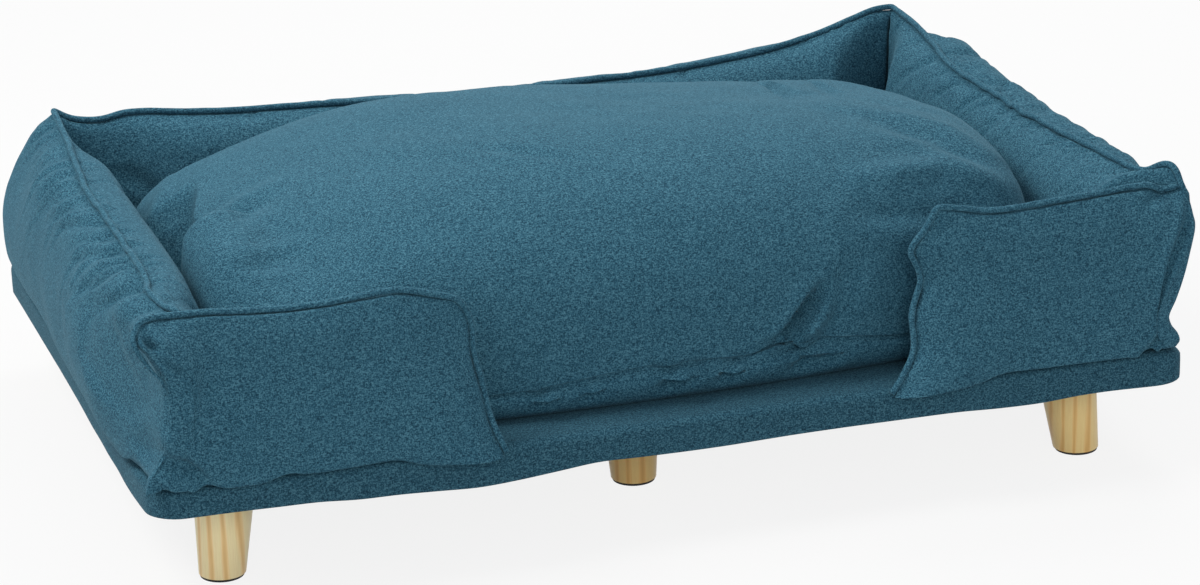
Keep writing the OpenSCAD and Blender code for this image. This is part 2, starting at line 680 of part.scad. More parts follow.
module zip_pull() color(steel_colour) at_zip() translate([slider_x, pin_out, -pull_w / 2]) difference() {
  union() {
    cylinder(h = pull_w, r = pull_hub_r);
    block([0, -pull_t / 2, 0], [pull_l - pull_w / 2, pull_t / 2, pull_w]);
    translate([pull_l - pull_w / 2, 0, pull_w / 2]) rotate([90, 0, 0])
      cylinder(h = pull_t, d = pull_w, center = true);
  }
  translate([0, 0, -cut_over]) cylinder(h = pull_w + 2 * cut_over, d = pull_pin_d + 2 * running_gap);
}

base_board();
base_foam();
base_cover();
dust_cover();
cover_staples();
tee_nuts();
hook_tapes();
for (foot = FEET) {
  leg(foot);
  bolt(foot);
  pad(foot);
}
bolster_back_cover();
bolster_left_cover();
bolster_right_cover();
bolster_front_left_cover();
bolster_front_right_cover();
bolster_back_filling();
bolster_left_filling();
bolster_right_filling();
bolster_front_left_filling();
bolster_front_right_filling();
bolster_welt();
loop_tapes();
cushion_cover();
cushion_insert();
zip_tapes();
zip_teeth();
zip_stops();
zip_slider();
zip_pull();
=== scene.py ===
import math

import bpy
import numpy as np
from mathutils import Matrix


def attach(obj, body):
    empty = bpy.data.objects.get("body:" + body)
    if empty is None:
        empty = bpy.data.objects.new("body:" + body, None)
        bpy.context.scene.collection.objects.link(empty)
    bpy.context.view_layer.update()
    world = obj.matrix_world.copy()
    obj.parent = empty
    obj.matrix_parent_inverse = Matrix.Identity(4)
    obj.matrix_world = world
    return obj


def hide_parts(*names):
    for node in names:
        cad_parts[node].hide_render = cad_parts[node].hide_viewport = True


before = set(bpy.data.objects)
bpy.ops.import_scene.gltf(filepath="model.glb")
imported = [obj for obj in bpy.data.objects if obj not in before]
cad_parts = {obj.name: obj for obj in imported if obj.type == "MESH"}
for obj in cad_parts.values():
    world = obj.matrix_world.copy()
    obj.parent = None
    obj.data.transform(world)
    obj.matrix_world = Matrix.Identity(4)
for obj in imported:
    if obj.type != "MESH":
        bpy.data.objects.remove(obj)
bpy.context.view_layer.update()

MM = 0.001

# Camera, found from the platform's edges and the feet
CAMERA_PLACE = (-1.1912623, -3.9555971, 1.6260750)
CAMERA_YAW = 0.2996184
CAMERA_PITCH = 0.3499221
CAMERA_ROLL = -0.0274079
CAMERA_LENS = 137.34
CAMERA_SENSOR = 36.0
CAMERA_FAR = 60.0
CAMERA_MM = np.array(CAMERA_PLACE) / MM

scene = bpy.context.scene
scene.view_settings.view_transform = "Standard"


def add_object(name, data):
    obj = bpy.data.objects.new(name, data)
    scene.collection.objects.link(obj)
    return obj


def aim(obj, place, side, top, ahead):
    """Put a camera or a lamp at the place, looking ahead."""
    matrix = Matrix.Identity(4)
    for row in range(3):
        matrix[row][0], matrix[row][1], matrix[row][2] = side[row], top[row], -ahead[row]
        matrix[row][3] = place[row]
    obj.matrix_world = matrix


def place_camera():
    ahead = np.array([
        math.sin(CAMERA_YAW) * math.cos(CAMERA_PITCH),
        math.cos(CAMERA_YAW) * math.cos(CAMERA_PITCH),
        -math.sin(CAMERA_PITCH),
    ])
    right = np.array([math.cos(CAMERA_YAW), -math.sin(CAMERA_YAW), 0.0])
    up = np.cross(right, ahead)
    c, s = math.cos(CAMERA_ROLL), math.sin(CAMERA_ROLL)
    data = bpy.data.cameras.new("camera")
    data.lens = CAMERA_LENS
    data.sensor_width = CAMERA_SENSOR
    data.sensor_fit = "HORIZONTAL"
    data.clip_end = CAMERA_FAR
    camera = add_object("camera", data)
    aim(camera, CAMERA_PLACE, c * right + s * up, c * up - s * right, ahead)
    bpy.context.scene.camera = camera


place_camera()


# Helpers for numbers


def curve(knots, x):
    """Smooth curve through (place, value) knots, held at its ends."""
    k = np.array([p[0] for p in knots], float)
    v = np.array([p[1] for p in knots], float)
    x = np.clip(x, k[0], k[-1])
    d = np.diff(v) / np.diff(k)
    m = np.concatenate([[d[0]], (d[:-1] + d[1:]) / 2, [d[-1]]])
    i = np.clip(np.searchsorted(k, x, side="right") - 1, 0, len(k) - 2)
    h = k[i + 1] - k[i]
    t = (x - k[i]) / h
    a = (2 * t**3 - 3 * t**2 + 1) * v[i] + (t**3 - 2 * t**2 + t) * h * m[i]
    return a + (3 * t**2 - 2 * t**3) * v[i + 1] + (t**3 - t**2) * h * m[i + 1]


def step(x, low, high):
    t = np.clip((x - low) / (high - low), 0, 1)
    return t * t * (3 - 2 * t)


def unit(v):
    return v / np.linalg.norm(v)


def bell(x):
    """1 at 0, falling off to 0 on both sides."""
    return np.exp(-(x**2))


def lengths(path):
    """Length along the path up to each of its points."""
    return np.concatenate([[0], np.cumsum(np.linalg.norm(np.diff(path, axis=0), axis=1))])


# Large numbers that scatter the values of neighbouring lattice points, within a word of 32 bits
HASH_I, HASH_J, HASH_K, HASH_SEED = 374761393, 668265263, 2147483647, 1274126177
WORD = 0xFFFFFFFF


def lattice(i, j, k, seed):
    """A repeatable number from -1 to 1 for each lattice point."""
    n = (i * HASH_I + j * HASH_J + k * HASH_K + seed * HASH_SEED) & WORD
    n = ((n ^ (n >> 13)) * HASH_SEED) & WORD
    n = ((n ^ (n >> 16)) * HASH_J) & WORD
    return ((n ^ (n >> 15)) & 0xFFFF) / 32767.5 - 1


def noise(p, size, seed=0):
    """Smooth noise from -1 to 1 at the points p, in cells of the given size."""
    q = np.asarray(p, float) / size
    base = np.floor(q).astype(np.int64)
    t = q - base
    t = t * t * (3 - 2 * t)
    total = np.zeros(len(q))
    for dx in (0, 1):
        for dy in (0, 1):
            for dz in (0, 1):
                w = (t[:, 0] if dx else 1 - t[:, 0]) * (t[:, 1] if dy else 1 - t[:, 1])
                w = w * (t[:, 2] if dz else 1 - t[:, 2])
                total += w * lattice(base[:, 0] + dx, base[:, 1] + dy, base[:, 2] + dz, seed)
    return total


def lumps(p, layers):
    """Layers of noise added up, each as (height, size, seed)."""
    return sum(height * noise(p, size, seed) for height, size, seed in layers)


def line_distance(p, line):
    """Distance of the points p to a polyline, and the share of its length at the nearest place."""
    line = np.asarray(line, float)
    hops = np.linalg.norm(np.diff(line, axis=0), axis=1)
    start = np.concatenate([[0], np.cumsum(hops)[:-1]]) / hops.sum()
    best, place = np.full(len(p), 1e9), np.zeros(len(p))
    for a, b, s0, hop in zip(line[:-1], line[1:], start, hops):
        t = np.clip(((p - a) @ (b - a)) / hop**2, 0, 1)
        d = np.linalg.norm(p - a - t[:, None] * (b - a), axis=1)
        place = np.where(d < best, s0 + t * hop / hops.sum(), place)
        best = np.minimum(best, d)
    return best, place


# How far along the sight a fold is felt in full, and where no more
FOLD_NEAR, FOLD_FAR = 26.0, 44.0
# Where a fold begins and ends, and the stretch over which it fades, as shares of its length
FOLD_BEFORE, FOLD_AFTER, FOLD_FADE = 0.12, 1.04, 0.36
# The lip beside a fold and beside a gather: its height as a share of the depth, its place and width in widths
FOLD_LIP, GATHER_LIP = (0.35, 2.2, 1.2), (0.5, 2.1, 1.4)


def groove(d, width, lip):
    """A dip of depth 1 on its line, where d is 0, with a lip beside it."""
    height, place, spread = lip
    return bell(d / width) - height * bell((d - place * width) / (spread * width))


def fold_height(p, folds):
    """Height of the folds at the points p. A fold is (polyline, width, depth); a depth below 0 is a ridge.

    Widths are measured across the line of sight, so that a fold lies where the photo shows it even where the
    cloth is a little in front of its line or behind it.
    """
    total = np.zeros(len(p))
    for line, width, depth in folds:
        line = np.asarray(line, float)
        middle = line.mean(0)
        sight = unit(middle - CAMERA_MM)
        reach = 5 * width + FOLD_FAR
        near = ((p > line.min(0) - reach) & (p < line.max(0) + reach)).all(axis=1)
        if not near.any():
            continue
        p_deep, line_deep = (p[near] - middle) @ sight, (line - middle) @ sight
        flat_line = line - line_deep[:, None] * sight
        d, place = line_distance(p[near] - p_deep[:, None] * sight, flat_line)
        along = lengths(flat_line)
        off = np.abs(p_deep - np.interp(place, along / along[-1], line_deep))
        fade = np.clip(np.minimum(place + FOLD_BEFORE, FOLD_AFTER - place) / FOLD_FADE, 0, 1)
        fade = fade * (1 - step(off, FOLD_NEAR, FOLD_FAR))
        total[near] -= depth * fade * groove(d, width, FOLD_LIP)
    return total


# Helpers for meshes; all shapes are computed in millimetres


def add_mesh(name, points, faces, material, body):
    """A smooth piece that rides on the body, in the given material."""
    mesh = bpy.data.meshes.new(name)
    mesh.from_pydata((np.asarray(points) * MM).tolist(), [], faces)
    mesh.validate()
    mesh.update()
    mesh.polygons.foreach_set("use_smooth", [True] * len(mesh.polygons))
    mesh.materials.append(material)
    piece = add_object(name, mesh)
    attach(piece, body)
    return piece


def grid_faces(rows, cols, closed_cols=False, flip=False):
    """Quads of a grid of rows times cols points."""
    faces = []
    for r in range(rows - 1):
        for c in range(cols if closed_cols else cols - 1):
            r2, c2 = r + 1, (c + 1) % cols
            f = (r * cols + c, r2 * cols + c, r2 * cols + c2, r * cols + c2)
            faces.append(f[::-1] if flip else f)
    return faces


def cap_faces(first, cols, flip=False):
    """Closes a ring with strips between its two halves."""
    faces = []
    for k in range(cols // 2):
        quad = [first + k, first + k + 1, first + (cols - k - 1) % cols, first + (cols - k) % cols]
        quad = [i for n, i in enumerate(quad) if i not in quad[:n]]
        if len(quad) > 2:
            faces.append(tuple(quad[::-1] if flip else quad))
    return faces


def tube_faces(rows, cols):
    """Faces of a tube of rows rings with cols points each, closed at both ends."""
    faces = grid_faces(rows, cols, closed_cols=True, flip=True)
    return faces + cap_faces(0, cols, True) + cap_faces((rows - 1) * cols, cols)


def grid_normals(p, closed_cols=False):
    """Normals of a grid of points, shape (rows, cols, 3)."""
    along = np.gradient(p, axis=0)
    if closed_cols:
        across = (np.roll(p, -1, axis=1) - np.roll(p, 1, axis=1)) / 2
    else:
        across = np.gradient(p, axis=1)
    n = np.cross(along, across)
    return n / np.maximum(np.linalg.norm(n, axis=2, keepdims=True), 1e-9)


# Materials


def new_material(name):
    material = bpy.data.materials.new(name)
    material.use_nodes = True
    tree = material.node_tree
    return material, tree, tree.nodes["Principled BSDF"]


def object_coords(tree):
    return tree.nodes.new("ShaderNodeTexCoord").outputs["Object"]


def link(tree, a, b):
    tree.links.new(a, b)


def set_inputs(node, **values):
    """Set the node's inputs by name. An underscore in a name stands for a space."""
    for name, value in values.items():
        node.inputs[name.replace("_", " ")].default_value = value


def plug(tree, socket, value):
    """Link the value to the socket if it is a socket itself, or else set it."""
    if isinstance(value, bpy.types.NodeSocket):
        link(tree, value, socket)
    else:
        socket.default_value = (*value, 1) if isinstance(value, tuple) else value


def mapped(tree, coords, stretch, turn=(0, 0, 0)):
    """The coordinates stretched along the axes and turned."""
    mapping = tree.nodes.new("ShaderNodeMapping")
    set_inputs(mapping, Scale=stretch, Rotation=turn)
    link(tree, coords, mapping.inputs["Vector"])
    return mapping.outputs["Vector"]


def noise_node(tree, coords, scale, detail=2.0, rough=0.5, stretch=None):
    node = tree.nodes.new("ShaderNodeTexNoise")
    set_inputs(node, Scale=scale, Detail=detail, Roughness=rough)
    link(tree, mapped(tree, coords, stretch) if stretch else coords, node.inputs["Vector"])
    return node.outputs["Fac"]


def ramp_node(tree, fac, stops):
    node = tree.nodes.new("ShaderNodeValToRGB")
    elements = node.color_ramp.elements
    elements[0].position, elements[0].color = stops[0][0], (*stops[0][1], 1)
    elements[1].position, elements[1].color = stops[-1][0], (*stops[-1][1], 1)
    for place, colour in stops[1:-1]:
        elements.new(place).color = (*colour, 1)
    link(tree, fac, node.inputs["Fac"])
    return node.outputs["Color"]


def mix_node(tree, a, b, fac, mode="MIX"):
    node = tree.nodes.new("ShaderNodeMix")
    node.data_type = "RGBA"
    node.blend_type = mode
    for socket, value in ((node.inputs[6], a), (node.inputs[7], b), (node.inputs[0], fac)):
        plug(tree, socket, value)
    return node.outputs[2]


def maths_node(tree, kind, a, b):
    node = tree.nodes.new("ShaderNodeMath")
    node.operation = kind
    for socket, value in ((node.inputs[0], a), (node.inputs[1], b)):
        plug(tree, socket, value)
    return node.outputs[0]


def bump_node(tree, shader, height, strength, distance):
    node = tree.nodes.new("ShaderNodeBump")
    set_inputs(node, Strength=strength, Distance=distance)
    link(tree, height, node.inputs["Height"])
    link(tree, node.outputs["Normal"], shader.inputs["Normal"])


# Noise cells per metre for the yarns, the slubs and the soft patches, and how the three yarns are stretched
YARN_SCALE, SLUB_SCALE, PATCH_SCALE = 880, 260, 14
YARN_STRETCH = ((0.42, 1, 1), (1, 0.5, 1), (1, 1, 0.6))
# The three yarns together are brought back to a range about 0.5, and the slubs add a little
YARN_SHARE, SLUB_SHARE = 0.318, 0.05


def cloth_material(name, dark, mid, light):
    """Heathered linen weave: short dark and light yarns both ways, slubs, soft patches, a fuzzy surface."""
    material, tree, shader = new_material(name)
    coords = object_coords(tree)
    yarns = [noise_node(tree, coords, YARN_SCALE, 1, 0.5, stretch) for stretch in YARN_STRETCH]
    slub = noise_node(tree, coords, SLUB_SCALE, 2, 0.5, (0.35, 1, 1))
    patch = noise_node(tree, coords, PATCH_SCALE, 2, 0.5)
    yarn = maths_node(tree, "ADD", yarns[0], yarns[1])
    yarn = maths_node(tree, "ADD", yarn, yarns[2])
    yarn = maths_node(tree, "MULTIPLY", yarn, YARN_SHARE)
    yarn = maths_node(tree, "ADD", yarn, maths_node(tree, "MULTIPLY", slub, SLUB_SHARE))
    colour = ramp_node(tree, yarn, [(0.40, dark), (0.5, mid), (0.60, light)])
    shade = ramp_node(tree, patch, [(0.3, (0.95, 0.955, 0.96)), (0.7, (1.0, 1.0, 1.0))])
    link(tree, mix_node(tree, colour, shade, 1.0, "MULTIPLY"), shader.inputs["Base Color"])
    set_inputs(shader, Roughness=0.95, Specular_IOR_Level=0.15)
    set_inputs(shader, Sheen_Weight=0.12, Sheen_Roughness=0.4, Sheen_Tint=(0.30, 0.55, 0.65, 1))
    bump_node(tree, shader, yarn, 0.6, 0.0012)
    return material


def wood_material(name, pale, mid, dark):
    """Pine turned along Z: growth bands that run up the leg, thin darker lines, satin lacquer."""
    material, tree, shader = new_material(name)
    coords = object_coords(tree)
    bands = tree.nodes.new("ShaderNodeTexWave")
    bands.wave_type = "BANDS"
    bands.bands_direction = "X"
    set_inputs(bands, Scale=26, Distortion=5, Detail=3, Detail_Scale=1.6)
    link(tree, mapped(tree, coords, (1, 1, 0.06), (0.06, 0.05, 0.5)), bands.inputs["Vector"])
    grain = noise_node(tree, coords, 900, 3, 0.6, (1, 1, 0.05))
    colour = ramp_node(tree, bands.outputs["Fac"], [(0.0, pale), (0.55, pale), (0.82, mid), (1.0, dark)])
    fleck = ramp_node(tree, grain, [(0.35, (0.93, 0.88, 0.82)), (0.6, (1.0, 1.0, 1.0))])
    link(tree, mix_node(tree, colour, fleck, 0.7, "MULTIPLY"), shader.inputs["Base Color"])
    set_inputs(shader, Roughness=0.42, Coat_Weight=0.15, Coat_Roughness=0.3)
    bump_node(tree, shader, grain, 0.12, 0.0004)
    return material


def grain_material(name, low, high, grain, rough, bump, metallic=0.0):
    """Fine grain between two colours: settings of its noise, and the strength and distance of its bump."""
    material, tree, shader = new_material(name)
    height = noise_node(tree, object_coords(tree), *grain)
    link(tree, ramp_node(tree, height, [(0.3, low), (0.7, high)]), shader.inputs["Base Color"])
    set_inputs(shader, Roughness=rough, Metallic=metallic)
    bump_node(tree, shader, height, *bump)
    return material


def toned(colour, share):
    return tuple(min(1.0, share * c) for c in colour)


def plain_cloth(name, colour, scale):
    grain = (scale, 3, 0.6, None)
    return grain_material(name, toned(colour, 0.75), toned(colour, 1.2), grain, 0.9, (0.4, 0.0006))


def metal_material(name, colour, rough):
    grain = (1500, 2, 0.5, (1, 1, 0.2))
    return grain_material(name, toned(colour, 0.85), colour, grain, rough, (0.1, 0.0001), 1.0)


CLOTH_COLOURS = (0.011, 0.046, 0.077), (0.029, 0.107, 0.161), (0.076, 0.203, 0.273)
# The platform's cloth is the bolsters' cloth made darker: painted shade for the shade it lies in below the
# bolsters
BASE_PAINTED_SHADE = 0.80
upholstery = cloth_material("upholstery_cloth", *CLOTH_COLOURS)
base_cloth_painted_shade = cloth_material("base_cloth_painted_shade", *(toned(colour, BASE_PAINTED_SHADE) for colour in CLOTH_COLOURS))
fibre = plain_cloth("fibre_fill", (0.86, 0.86, 0.83), 260)
foam = plain_cloth("open_foam", (0.82, 0.76, 0.60), 900)
dust_cloth = plain_cloth("dust_cloth", (0.018, 0.018, 0.02), 1500)
hook_nylon = plain_cloth("hook_nylon", (0.02, 0.02, 0.022), 2500)
loop_nylon = plain_cloth("loop_nylon", (0.04, 0.11, 0.15), 2500)
zip_cloth = plain_cloth("zip_cloth", (0.035, 0.10, 0.14), 2500)
zip_nylon = plain_cloth("zip_nylon", (0.03, 0.085, 0.12), 3000)
pad_rubber = plain_cloth("pad_rubber", (0.02, 0.02, 0.02), 1800)
zinc = metal_material("zinc_plate", (0.66, 0.67, 0.70), 0.32)
zip_metal = metal_material("zip_metal", (0.55, 0.56, 0.58), 0.28)
plywood = grain_material(
    "plywood", (0.42, 0.28, 0.15), (0.66, 0.49, 0.30), (60, 4, 0.6, (0.12, 1, 1)), 0.7, (0.2, 0.0005)
)
pine_pale = wood_material("pine_pale", (1.0, 0.84, 0.48), (1.0, 0.75, 0.37), (0.86, 0.56, 0.23))
pine_gold = wood_material("pine_gold", (1.0, 0.74, 0.32), (0.98, 0.65, 0.25), (0.84, 0.50, 0.16))
pine_dark = wood_material("pine_dark", (1.0, 0.70, 0.27), (0.98, 0.61, 0.21), (0.82, 0.47, 0.14))


# Sizes from the CAD, in millimetres
BASE_W, BASE_D, BASE_R = 970.0, 670.0, 30.0
HEM_Z, BASE_TOP = 85.0, 111.6
SEAM_X, SEAM_BACK, SEAM_FRONT = 440.0, 280.0, 312.0
BOLSTER_Z = 114.3


# Folds of the bolsters, as places on the cloth: long pulls over the left face, the tuck under the front left
# ear, drag folds at that corner's foot, seam and foot of the front right corner, pulls on the right face
BOLSTER_FOLDS = [
    ([(-452, 150, 266), (-474, 160, 252), (-488, 178, 232)], 3.5, 3.0),
    ([(-453, 98, 266), (-476, 108, 252), (-490, 130, 228)], 3.0, 2.6),
    ([(-454, 50, 267), (-480, 65, 251), (-492, 101, 224)], 4.0, 4.2),
    ([(-452, 18, 267), (-476, 34, 254), (-488, 62, 238)], 3.0, 2.6),
    ([(-450, -4, 268), (-478, 22, 253), (-492, 87, 224)], 3.5, 4.0),
    ([(-449, -51, 268), (-479, -14, 254), (-489, 36, 234)], 3.5, 4.0),
    ([(-449, -95, 268), (-477, -62, 254), (-490, -30, 232)], 3.0, 2.6),
    ([(-449, -130, 267), (-477, -98, 255), (-492, -51, 231)], 4.0, 4.6),
    ([(-470, -163, 256), (-490, -128, 234), (-498, -80, 204)], 4.0, 3.2),
    ([(-452, -222, 266), (-470, -206, 257), (-486, -184, 240), (-494, -160, 220)], 6.0, 7.5),
    ([(-494, -112, 252), (-500, -123, 215), (-502, -130, 172), (-500, -187, 150), (-496, -257, 138)],
     11.0, -6.0),
    ([(-488, -190, 236), (-495, -215, 205), (-494, -250, 172)], 20.0, 4.0),
    ([(-468, -262, 258), (-486, -250, 240), (-495, -236, 216)], 7.0, 3.5),
    ([(-479, -326, 254), (-479, -330, 247), (-480, -333, 241)], 4.0, 10.0),
    ([(-484, -336, 236), (-478, -340, 228), (-470, -343, 220)], 3.5, 5.0),
    ([(-474, -340, 232), (-466, -344, 215), (-464, -347, 195), (-466, -349, 141)], 2.6, 1.8),
    ([(-433, -323, 254), (-420, -329, 243), (-412, -333, 232)], 5.0, 2.2),
    ([(-500, -300, 150), (-497, -322, 146), (-488, -341, 141), (-467, -343, 136), (-446, -343, 128),
      (-430, -343, 118)], 7.0, 10.0),
    ([(-494, -336, 136), (-485, -342, 123), (-470, -343, 114)], 5.0, 5.0),
    ([(-474, -343, 138), (-456, -343, 127), (-440, -343, 116)], 5.0, -3.0),
    ([(-497, -290, 128), (-494, -318, 120), (-486, -334, 114)], 6.0, 4.0),
    ([(-400, -345, 150), (-372, -344, 128), (-350, -341, 116)], 9.0, 2.6),
    ([(-215, -344, 168), (-206, -340, 140), (-196, -336, 118)], 5.0, 2.5),
    ([(496, -326, 252), (495, -333, 241), (488, -339, 224), (480, -343, 202), (471, -347, 166),
      (465, -348, 138), (458, -347, 126)], 3.4, 6.0),
    ([(450, -344, 118), (460, -347, 128), (474, -345, 128)], 4.5, 7.0),
    ([(476, -316, 262), (464, -322, 258), (452, -330, 252)], 5.0, 3.0),
    ([(436, 66, 268), (417, 72, 255), (404, 82, 236)], 5.0, 4.0),
    ([(441, 20, 268), (422, 24, 255), (408, 34, 240)], 3.5, 2.6),
    ([(442, -39, 268), (423, -43, 255), (410, -35, 240)], 4.0, 4.2),
    ([(443, -69, 268), (424, -68, 255), (410, -60, 242)], 4.0, 3.4),
    ([(444, -110, 266), (426, -112, 254), (414, -108, 246)], 3.0, 2.2),
    ([(446, -144, 265), (426, -148, 252), (412, -142, 240)], 4.0, 3.0),
    ([(430, 140, 262), (412, 146, 246)], 5.0, 3.0),
    ([(448, 130, 270), (458, 115, 270), (469, 95, 268)], 4.0, 5.0),
    ([(447, 114, 269), (450, 90, 269), (449, 70, 268)], 4.5, 4.0),
    ([(446, 5, 270), (458, 0, 270)], 4.5, 4.5),
    ([(448, -71, 270), (466, -79, 269)], 4.5, 4.5),
    ([(-380, 238, 215), (-350, 234, 190), (-330, 233, 170)], 9.0, 4.0),
]

# Bolsters. Each is a tube of fabric in its own frame: a along the seam, w outwards, z up.
# The profile runs from the top seam down the inner face, along the underside, up the outer face
INNER = [
    (0, 0, 1), (6, -0.16, 0.985), (14, -0.42, 0.94), (24, -0.70, 0.83), (34, -0.90, 0.68), (46, -1, 0.46),
    (58, -0.98, 0.24), (68, -0.90, 0.08), (74, -0.80, 0.005), (80, -0.66, -0.004), (90, -0.40, 0.0),
    (108, 0.40, 0.0),
]
OUTER = [
    (118, 0.66, -0.004), (124, 0.78, 0.0), (130, 0.90, 0.06), (140, 0.98, 0.20), (152, 1, 0.40),
    (162, 0.95, 0.58), (172, 0.80, 0.76), (182, 0.55, 0.89), (190, 0.22, 0.97), (196, 0, 1),
]
# Inner face of the left bolster, which is full up to its seam, and of a corner, which drops nearly straight
FULL_IN = [
    (0, 0, 1), (6, -0.13, 1.0), (14, -0.36, 0.985), (24, -0.64, 0.935), (34, -0.87, 0.80), (46, -1, 0.56),
    (58, -1.0, 0.28), (68, -0.92, 0.09), (74, -0.80, 0.005), (80, -0.66, -0.004), (90, -0.40, 0.0),
    (108, 0.40, 0.0),
]
UPRIGHT_IN = [
    (0, 0, 1), (6, -0.11, 0.97), (14, -0.17, 0.90), (24, -0.21, 0.78), (34, -0.25, 0.63), (46, -0.31, 0.45),
    (58, -0.38, 0.24), (68, -0.45, 0.08), (74, -0.45, 0.005), (80, -0.40, -0.004), (90, -0.22, 0.0),
    (108, 0.30, 0.0),
]
# Outer face from the underside up to the seam: slim at a corner, and puffed out by the gathers
SLIM = [
    (118, 0.62, -0.004), (124, 0.78, 0.0), (130, 0.90, 0.05), (140, 0.985, 0.16), (152, 0.985, 0.33),
    (162, 0.91, 0.47), (172, 0.77, 0.60), (182, 0.55, 0.76), (190, 0.28, 0.91), (196, 0, 1),
]
PUFFY = [
    (118, 0.66, -0.004), (124, 0.80, 0.0), (130, 0.92, 0.07), (140, 0.99, 0.24), (152, 1, 0.48),
    (162, 0.97, 0.68), (172, 0.87, 0.85), (182, 0.65, 0.965), (190, 0.33, 1.01), (194, 0.12, 1.01),
    (196, 0, 1),
]
# The left bolster's outer face, tucked in below and full at mid height
TUCKED = [
    (118, 0.58, -0.004), (124, 0.68, 0.0), (130, 0.80, 0.05), (140, 0.93, 0.16), (152, 1.0, 0.33),
    (162, 0.97, 0.50), (172, 0.86, 0.67), (182, 0.63, 0.84), (190, 0.32, 0.955), (196, 0, 1),
]
# The front bolsters' outer face leans evenly from the foot to the seam
FLAT = [
    (118, 0.70, -0.004), (124, 0.85, 0.0), (130, 0.96, 0.055), (140, 1.01, 0.18), (152, 0.95, 0.36),
    (162, 0.82, 0.54), (172, 0.64, 0.71), (182, 0.42, 0.87), (190, 0.18, 0.985), (196, 0, 1),
]
# Full nearly up to the seam, for the front corners
BOXY = [
    (118, 0.60, -0.004), (124, 0.70, 0.0), (130, 0.82, 0.05), (140, 0.93, 0.17), (152, 1.0, 0.36),
    (162, 1.01, 0.55), (172, 0.95, 0.72), (182, 0.74, 0.86), (190, 0.38, 0.95), (196, 0, 1),
]
# Points round a bolster
RING = 160


# The welt's cord stands this much above the seam of the cloth, and the cloth's seam this much below its line
CORD_LIFT = 3.2
SEAM_SINK = 2.0
# Outer and inner profile at a corner, and how far from it each is felt
CORNER_SHAPES = {
    "slim": (SLIM, UPRIGHT_IN, 150.0, 150.0), "half_slim": (SLIM, UPRIGHT_IN, 150.0, 75.0),
    "short_slim": (SLIM, UPRIGHT_IN, 125.0, 75.0), "short_boxy": (BOXY, INNER, 120.0, 80.0),
    "tip": (BOXY, INNER, 60.0, 60.0), "boxy": (BOXY, INNER, 200.0, 90.0),
}


def ring_shares(outer=OUTER, inner=INNER):
    """Shares of the width and the height round a bolster's profile."""
    t = np.linspace(0, OUTER[-1][0], RING, endpoint=False)
    knots = inner + outer
    w = curve([(p[0], p[1]) for p in knots], t)
    h = curve([(p[0], p[2]) for p in knots], t)
    return w, h


# How slowly a corner begins to turn, and how square it is
CORNER_TURN, CORNER_POWER = 1.4, 3.0
# Stations in a corner, and the gap between the others
CORNER_STATIONS, STATION_GAP = 30, 3.6


def zone(q):
    """How far the outer face of a corner reaches along and out at q, from 0 before the corner to 1 at it."""
    angle = math.radians(45) * q**CORNER_TURN
    r = (np.cos(angle) ** CORNER_POWER + np.sin(angle) ** CORNER_POWER) ** (-1 / CORNER_POWER)
    return r * np.sin(angle), r * np.cos(angle)


def stations(spec):
    """Places along the seam, and how far each is into the start and into the end corner, from 0 to 1."""
    low, high = spec["span"]
    start, end = spec["start"], spec["end"]
    left = low + (spec["zone"] if start else 0)
    right = high - (spec["zone"] if end else 0)
    first = np.linspace(1, 0, CORNER_STATIONS, endpoint=False) if start else np.zeros(0)
    last = np.linspace(0, 1, CORNER_STATIONS + 1) if end else np.zeros(0)
    middle = np.linspace(left, right, int((right - left) / STATION_GAP), endpoint=not end)
    a = np.concatenate([low + spec["zone"] * (1 - first) ** 2, middle, high - spec["zone"] * (1 - last) ** 2])
    q0, q1 = np.zeros(len(a)), np.zeros(len(a))
    q0[:len(first)] = first
    q1[len(a) - len(last):] = last
    return a, q0, q1


def bolster_grid(spec):
    """Points of a bolster in its own frame, its stations, and how far each station is into a corner."""
    a, q0, q1 = stations(spec)
    low, high = spec["span"]
    inner_face = spec.get("inner_face", INNER)
    full_w, full_h = ring_shares(spec.get("face", OUTER), inner_face)
    seam_w = curve(spec["seam_w"], a)[:, None]
    seam_z = curve(spec["seam_z"], a)[:, None] - SEAM_SINK
    outer = curve(spec["outer"], a)[:, None] - seam_w
    inner = seam_w - curve(spec["inner"], a)[:, None]
    w_share, h_share = full_w + 0 * seam_w, full_h + 0 * seam_w
    near_corner = np.zeros(len(a))
    for name, distance in (("start", a - low), ("end", high - a)):
        if spec[name]:
            shape, inner_shape, reach, inner_reach = CORNER_SHAPES[spec[name + "_shape"]]
            share = (1 - step(distance, reach / 4, reach))[:, None]
            w, h = ring_shares(shape, inner_shape)
            mix = np.where(w < 0, (1 - step(distance, 6, inner_reach))[:, None], share)
            w_share, h_share = w_share + mix * (w - full_w), h_share + mix * (h - full_h)
            near_corner = np.maximum(near_corner, share[:, 0])
    w, h = ring_shares(PUFFY, inner_face)
    share = spec["puff"] * (1 - near_corner)[:, None]
    w_share, h_share = w_share + share * (w - full_w), h_share + share * (h - full_h)
    out_side = w_share > 0
    reach, width = np.zeros((len(a), 1)), np.ones((len(a), 1))
    pull = np.zeros((len(a), 1))
    for q, sign, neighbour in ((q0, -1, spec["start"]), (q1, 1, spec["end"])):
        if neighbour:
            f, g = zone(q[:, None])
            reach = reach + sign * f * neighbour[0]
            width = np.where(q[:, None] > 0, g, width)
            pull = pull - sign * neighbour[1] * (1 - (1 - q[:, None]) ** 2)
    x = a[:, None] + np.where(out_side, w_share * reach, -w_share * pull)
    w = seam_w + np.where(out_side, w_share * outer * width, w_share * inner)
    z = BOLSTER_Z + h_share * (seam_z - BOLSTER_Z)
    if "free" in spec:
        x, w = free_end(spec, a, x, w, z, seam_w)
    return np.stack([x + 0 * w, w + 0 * x, z + 0 * x], 2), a, np.maximum(q0, q1)


